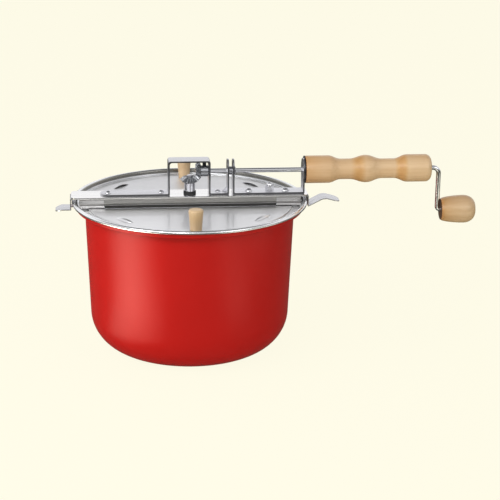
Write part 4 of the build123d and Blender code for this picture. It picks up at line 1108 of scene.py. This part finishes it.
def paper_floor(colour, glow, in_metal):
    """Pale paper: it takes a soft shadow, and bright metal shows it darker, with glowing patches
    that paint highlights.
    """
    finish, tree = new_finish("paper_floor", Roughness=0.9)
    shader = tree.nodes[SHADER]
    grain = noise(tree, 700, 3.0)
    tone = tones(tree, grain, [(0.3, scaled(colour, 0.985)), (0.7, colour)])
    feed(tree, shader.inputs["Base Color"], tone)
    rays = add(tree, "ShaderNodeLightPath").outputs
    seen = maths(tree, "MAXIMUM", rays["Is Camera Ray"], rays["Is Glossy Ray"])
    seen = maths(tree, "MAXIMUM", seen, rays["Is Transmission Ray"])
    level = in_metal
    # Painted highlights: glowing patches on the paper that only reflections show.
    for x, y, reach, more in PAINTED_HIGHLIGHT_PATCHES:
        far = add(tree, "ShaderNodeVectorMath", {0: coordinates(tree), 1: (x, y, 0.0)},
                  operation="DISTANCE").outputs["Value"]
        level = maths(tree, "ADD", ranged(tree, far, 0.0, reach, more, 0.0), level)
    strength = maths(tree, "MULTIPLY_ADD", rays["Is Glossy Ray"],
                     maths(tree, "SUBTRACT", level, 1.0), 1.0)
    glowing = add(tree, "ShaderNodeEmission", {"Color": (*colour, 1.0), "Strength": strength})
    share = maths(tree, "MAXIMUM", times(tree, seen, glow), rays["Is Glossy Ray"])
    mixed = add(tree, "ShaderNodeMixShader",
                {0: share, 1: shader.outputs[0], 2: glowing.outputs[0]})
    out = next(n for n in tree.nodes if n.type == "OUTPUT_MATERIAL")
    tree.links.new(mixed.outputs[0], out.inputs["Surface"])
    return finish


def room_in_metal(tree):
    """The room as bright metal shows it: pale paper behind, a darker front, and a dim ceiling."""
    _, y, z = axes(tree, coordinates(tree, "Generated"))
    front, back = [tones(tree, z, [(rise, (level, level, level * 1.02)) for rise, level in side])
                   for side in (ROOM_FRONT, ROOM_BACK)]
    return blend_colours(tree, ranged(tree, y, -0.35, 0.35), front, back)


def make_camera():
    """The camera that stands where the photo was taken from."""
    camera = bpy.data.cameras.new("Camera")
    camera.lens = CAMERA_LENS
    camera.sensor_width = CAMERA_SENSOR
    camera.clip_end = 50.0
    eye = new_object("Camera", camera)
    place = AIM + direction(CAMERA_AZIMUTH, CAMERA_RISE) * CAMERA_FAR
    eye.matrix_world = facing(place, AIM, CAMERA_ROLL)
    bpy.context.scene.camera = eye


def make_room(look):
    """The world: plain soft light, pale paper to the camera, and the room for bright metal."""
    world = bpy.data.worlds.new("Pale room")
    world.use_nodes = True
    bpy.context.scene.world = world
    tree = world.node_tree
    back = next(n for n in tree.nodes if n.type == "BACKGROUND")
    rays = add(tree, "ShaderNodeLightPath").outputs
    seen = maths(tree, "MAXIMUM", rays["Is Camera Ray"], rays["Is Transmission Ray"])
    level = maths(tree, "MAXIMUM", seen, look.room_light)
    plain = blend_colours(tree, level, (0.0, 0.0, 0.0), look.paper)
    shiny = multiplied(tree, 1.0, room_in_metal(tree), (look.room_seen,) * 3)
    feed(tree, back.inputs["Color"], blend_colours(tree, rays["Is Glossy Ray"], plain, shiny))


def make_stage(look):
    """The camera, the floor, the soft lights and the pale surroundings."""
    make_camera()
    half = look.floor_size / 2
    mesh = bpy.data.meshes.new("Floor")
    corners = [(-half, -half, 0), (half, -half, 0), (half, half, 0), (-half, half, 0)]
    mesh.from_pydata(corners, (), [(0, 1, 2, 3)])
    mesh.materials.append(paper_floor(look.paper, look.floor_glow, look.floor_in_metal))
    new_object("Floor", mesh)
    for name, azimuth, rise, far, width, height, power, in_metal in SOFTBOXES:
        softbox(name, azimuth, rise, far, width, height, getattr(look, power), in_metal)
    make_room(look)
    bpy.context.scene.view_settings.view_transform = "Standard"


# ---- properties ----
def colour_property(name, text, value):
    """A colour that a user may change."""
    return FloatVectorProperty(name=name, description=text, default=value, size=3,
                               min=0.0, max=1.0, subtype="COLOR")


def share_property(name, text, value, most=1.0):
    """A share or level that a user may change."""
    return FloatProperty(name=name, description=text, default=value, min=0.0, max=most,
                         subtype="FACTOR")


def lamp_property(name, text, watts):
    """The power of a lamp."""
    return FloatProperty(name=name, description=text, default=watts, min=0.0, max=200.0,
                         unit="POWER")


class PopperLook(bpy.types.PropertyGroup):
    """Sizes and colours of the popper."""

    pan_sections: IntProperty(name="Pan sections", default=256, min=24, max=512,
                              description="Number of flat strips round the pan")
    rod_sides: IntProperty(name="Rod sides", default=40, min=8, max=96,
                           description="Number of flat strips round the crank rod")
    red: colour_property("Enamel", "Colour of the pan's outside", (0.44, 0.0040, 0.0030))
    aluminium: colour_property("Lining", "Colour of the bare pan", (0.62, 0.62, 0.63))
    lip: colour_property("Lip", "Colour of the rolled lip", (0.90, 0.91, 0.92))
    lid: colour_property("Lids", "Colour of the half lids", (0.88, 0.88, 0.89))
    bar: colour_property("Crossbar", "Colour of the crossbar", (0.92, 0.91, 0.89))
    strap: colour_property("Straps", "Colour of the folded straps", (0.70, 0.70, 0.73))
    rod: colour_property("Crank rod", "Colour of the crank rod", (0.80, 0.80, 0.82))
    gear: colour_property("Gears", "Colour of the gears", (0.47, 0.48, 0.50))
    wood_pale: colour_property("Pale wood", "Light tone of the handle and crank knob",
                               (0.64, 0.455, 0.285))
    wood_deep: colour_property("Deep wood", "Dark tone of the handle and crank knob",
                               (0.56, 0.36, 0.20))
    knob_pale: colour_property("Pale knob wood", "Light tone of the lid knobs",
                               (0.58, 0.42, 0.26))
    knob_deep: colour_property("Deep knob wood", "Dark tone of the lid knobs",
                               (0.50, 0.34, 0.18))


class PopperStage(bpy.types.PropertyGroup):
    """Size, colour and light of the stage."""

    paper: colour_property("Paper", "Colour of the floor and the room", (1.0, 0.973, 0.815))
    floor_size: FloatProperty(name="Floor size", default=12.0, min=1.0, max=50.0, unit="LENGTH",
                              description="Width of the square floor")
    floor_glow: share_property("Floor glow", "How much of the floor shows without light or shadow",
                               0.96)
    floor_in_metal: share_property("Floor in metal", "How bright the floor is in polished metal",
                                   0.12)
    room_light: share_property("Room light", "Soft light from all round", 0.5, 2.0)
    room_seen: share_property("Room in metal", "How bright the room is in polished metal",
                              1.0, 2.0)
    left_lamp: lamp_property("Left lamp", "Power of the tall lamp at the left", 11.0)
    right_lamp: lamp_property("Right lamp", "Power of the square lamp at the right", 4.0)
    front_lamp: lamp_property("Front lamp", "Power of the wide lamp at the front left", 13.0)
    top_lamp: lamp_property("Top lamp", "Power of the lamp overhead", 2.5)


# ---- operators ----
class POPPER_OT_pan(bpy.types.Operator):
    """Turn the enamelled wall, the lining, the rolled lip and the shoulder of the pan"""

    bl_idname = "popper.pan"
    bl_label = "Pan"

    def execute(self, context):
        make_pan_pieces(context.scene.popper_look)
        return {"FINISHED"}


class POPPER_OT_lids(bpy.types.Operator):
    """Finish the two half lids and make their hinge wires"""

    bl_idname = "popper.lids"
    bl_label = "Half lids"

    def execute(self, context):
        make_lids(context.scene.popper_look)
        return {"FINISHED"}


class POPPER_OT_lid_knobs(bpy.types.Operator):
    """Turn the two wooden lid knobs and finish their screws"""

    bl_idname = "popper.lid_knobs"
    bl_label = "Lid knobs"

    def execute(self, context):
        make_lid_knobs(context.scene.popper_look)
        return {"FINISHED"}


class POPPER_OT_straps(bpy.types.Operator):
    """Finish the crossbar, keepers, folded straps and clips"""

    bl_idname = "popper.straps"
    bl_label = "Crossbar, straps and clips"

    def execute(self, context):
        make_straps(context.scene.popper_look)
        return {"FINISHED"}


class POPPER_OT_rivets(bpy.types.Operator):
    """Set the rivets and the cap nut"""

    bl_idname = "popper.rivets"
    bl_label = "Rivets and cap nut"

    def execute(self, context):
        make_rivets()
        return {"FINISHED"}


class POPPER_OT_gears(bpy.types.Operator):
    """Make the two bevel gears and the set screw"""

    bl_idname = "popper.gears"
    bl_label = "Gears"

    def execute(self, context):
        make_gears(context.scene.popper_look)
        return {"FINISHED"}


class POPPER_OT_crank(bpy.types.Operator):
    """Bend the crank rod and turn its knob"""

    bl_idname = "popper.crank"
    bl_label = "Crank"

    def execute(self, context):
        make_crank(context.scene.popper_look)
        return {"FINISHED"}


class POPPER_OT_stirrer(bpy.types.Operator):
    """Finish the stirrer's shaft and bend its wire"""

    bl_idname = "popper.stirrer"
    bl_label = "Stirrer"

    def execute(self, context):
        make_stirrer()
        return {"FINISHED"}


class POPPER_OT_bearing(bpy.types.Operator):
    """Finish the bearing, its nut and the black ring"""

    bl_idname = "popper.bearing"
    bl_label = "Bearing"

    def execute(self, context):
        make_bearing()
        return {"FINISHED"}


class POPPER_OT_handle(bpy.types.Operator):
    """Turn the handle and finish its ferrule and tube"""

    bl_idname = "popper.handle"
    bl_label = "Handle"

    def execute(self, context):
        make_handle(context.scene.popper_look)
        return {"FINISHED"}


class POPPER_OT_stage(bpy.types.Operator):
    """Set up the camera, floor, lights and surroundings"""

    bl_idname = "popper.stage"
    bl_label = "Stage"

    def execute(self, context):
        make_stage(context.scene.popper_stage)
        return {"FINISHED"}


OPERATORS = (
    POPPER_OT_stage, POPPER_OT_pan, POPPER_OT_lids, POPPER_OT_lid_knobs, POPPER_OT_straps,
    POPPER_OT_rivets, POPPER_OT_gears, POPPER_OT_crank, POPPER_OT_stirrer, POPPER_OT_bearing,
    POPPER_OT_handle,
)


class POPPER_PT_sidebar(bpy.types.Panel):
    """The popper's pieces, sizes and colours"""

    bl_idname = "POPPER_PT_sidebar"
    bl_label = "Popcorn Popper"
    bl_space_type = "VIEW_3D"
    bl_region_type = "UI"
    bl_category = "Popper"

    def draw(self, context):
        column = self.layout.column(align=True)
        for operator in OPERATORS:
            column.operator(operator.bl_idname)
        for group in (context.scene.popper_look, context.scene.popper_stage):
            box = self.layout.box()
            for name in group.__annotations__:
                box.prop(group, name)


CLASSES = (PopperLook, PopperStage, *OPERATORS, POPPER_PT_sidebar)


def register():
    """Registers the classes and the two property groups on the scene."""
    for each in CLASSES:
        bpy.utils.register_class(each)
    bpy.types.Scene.popper_look = PointerProperty(type=PopperLook)
    bpy.types.Scene.popper_stage = PointerProperty(type=PopperStage)


def unregister():
    """Takes them off again."""
    del bpy.types.Scene.popper_stage
    del bpy.types.Scene.popper_look
    for each in reversed(CLASSES):
        bpy.utils.unregister_class(each)


def main():
    """Makes every piece and the stage."""
    register()
    for operator in OPERATORS:
        family, name = operator.bl_idname.split(".")
        getattr(getattr(bpy.ops, family), name)()


if __name__ == "__main__":
    main()
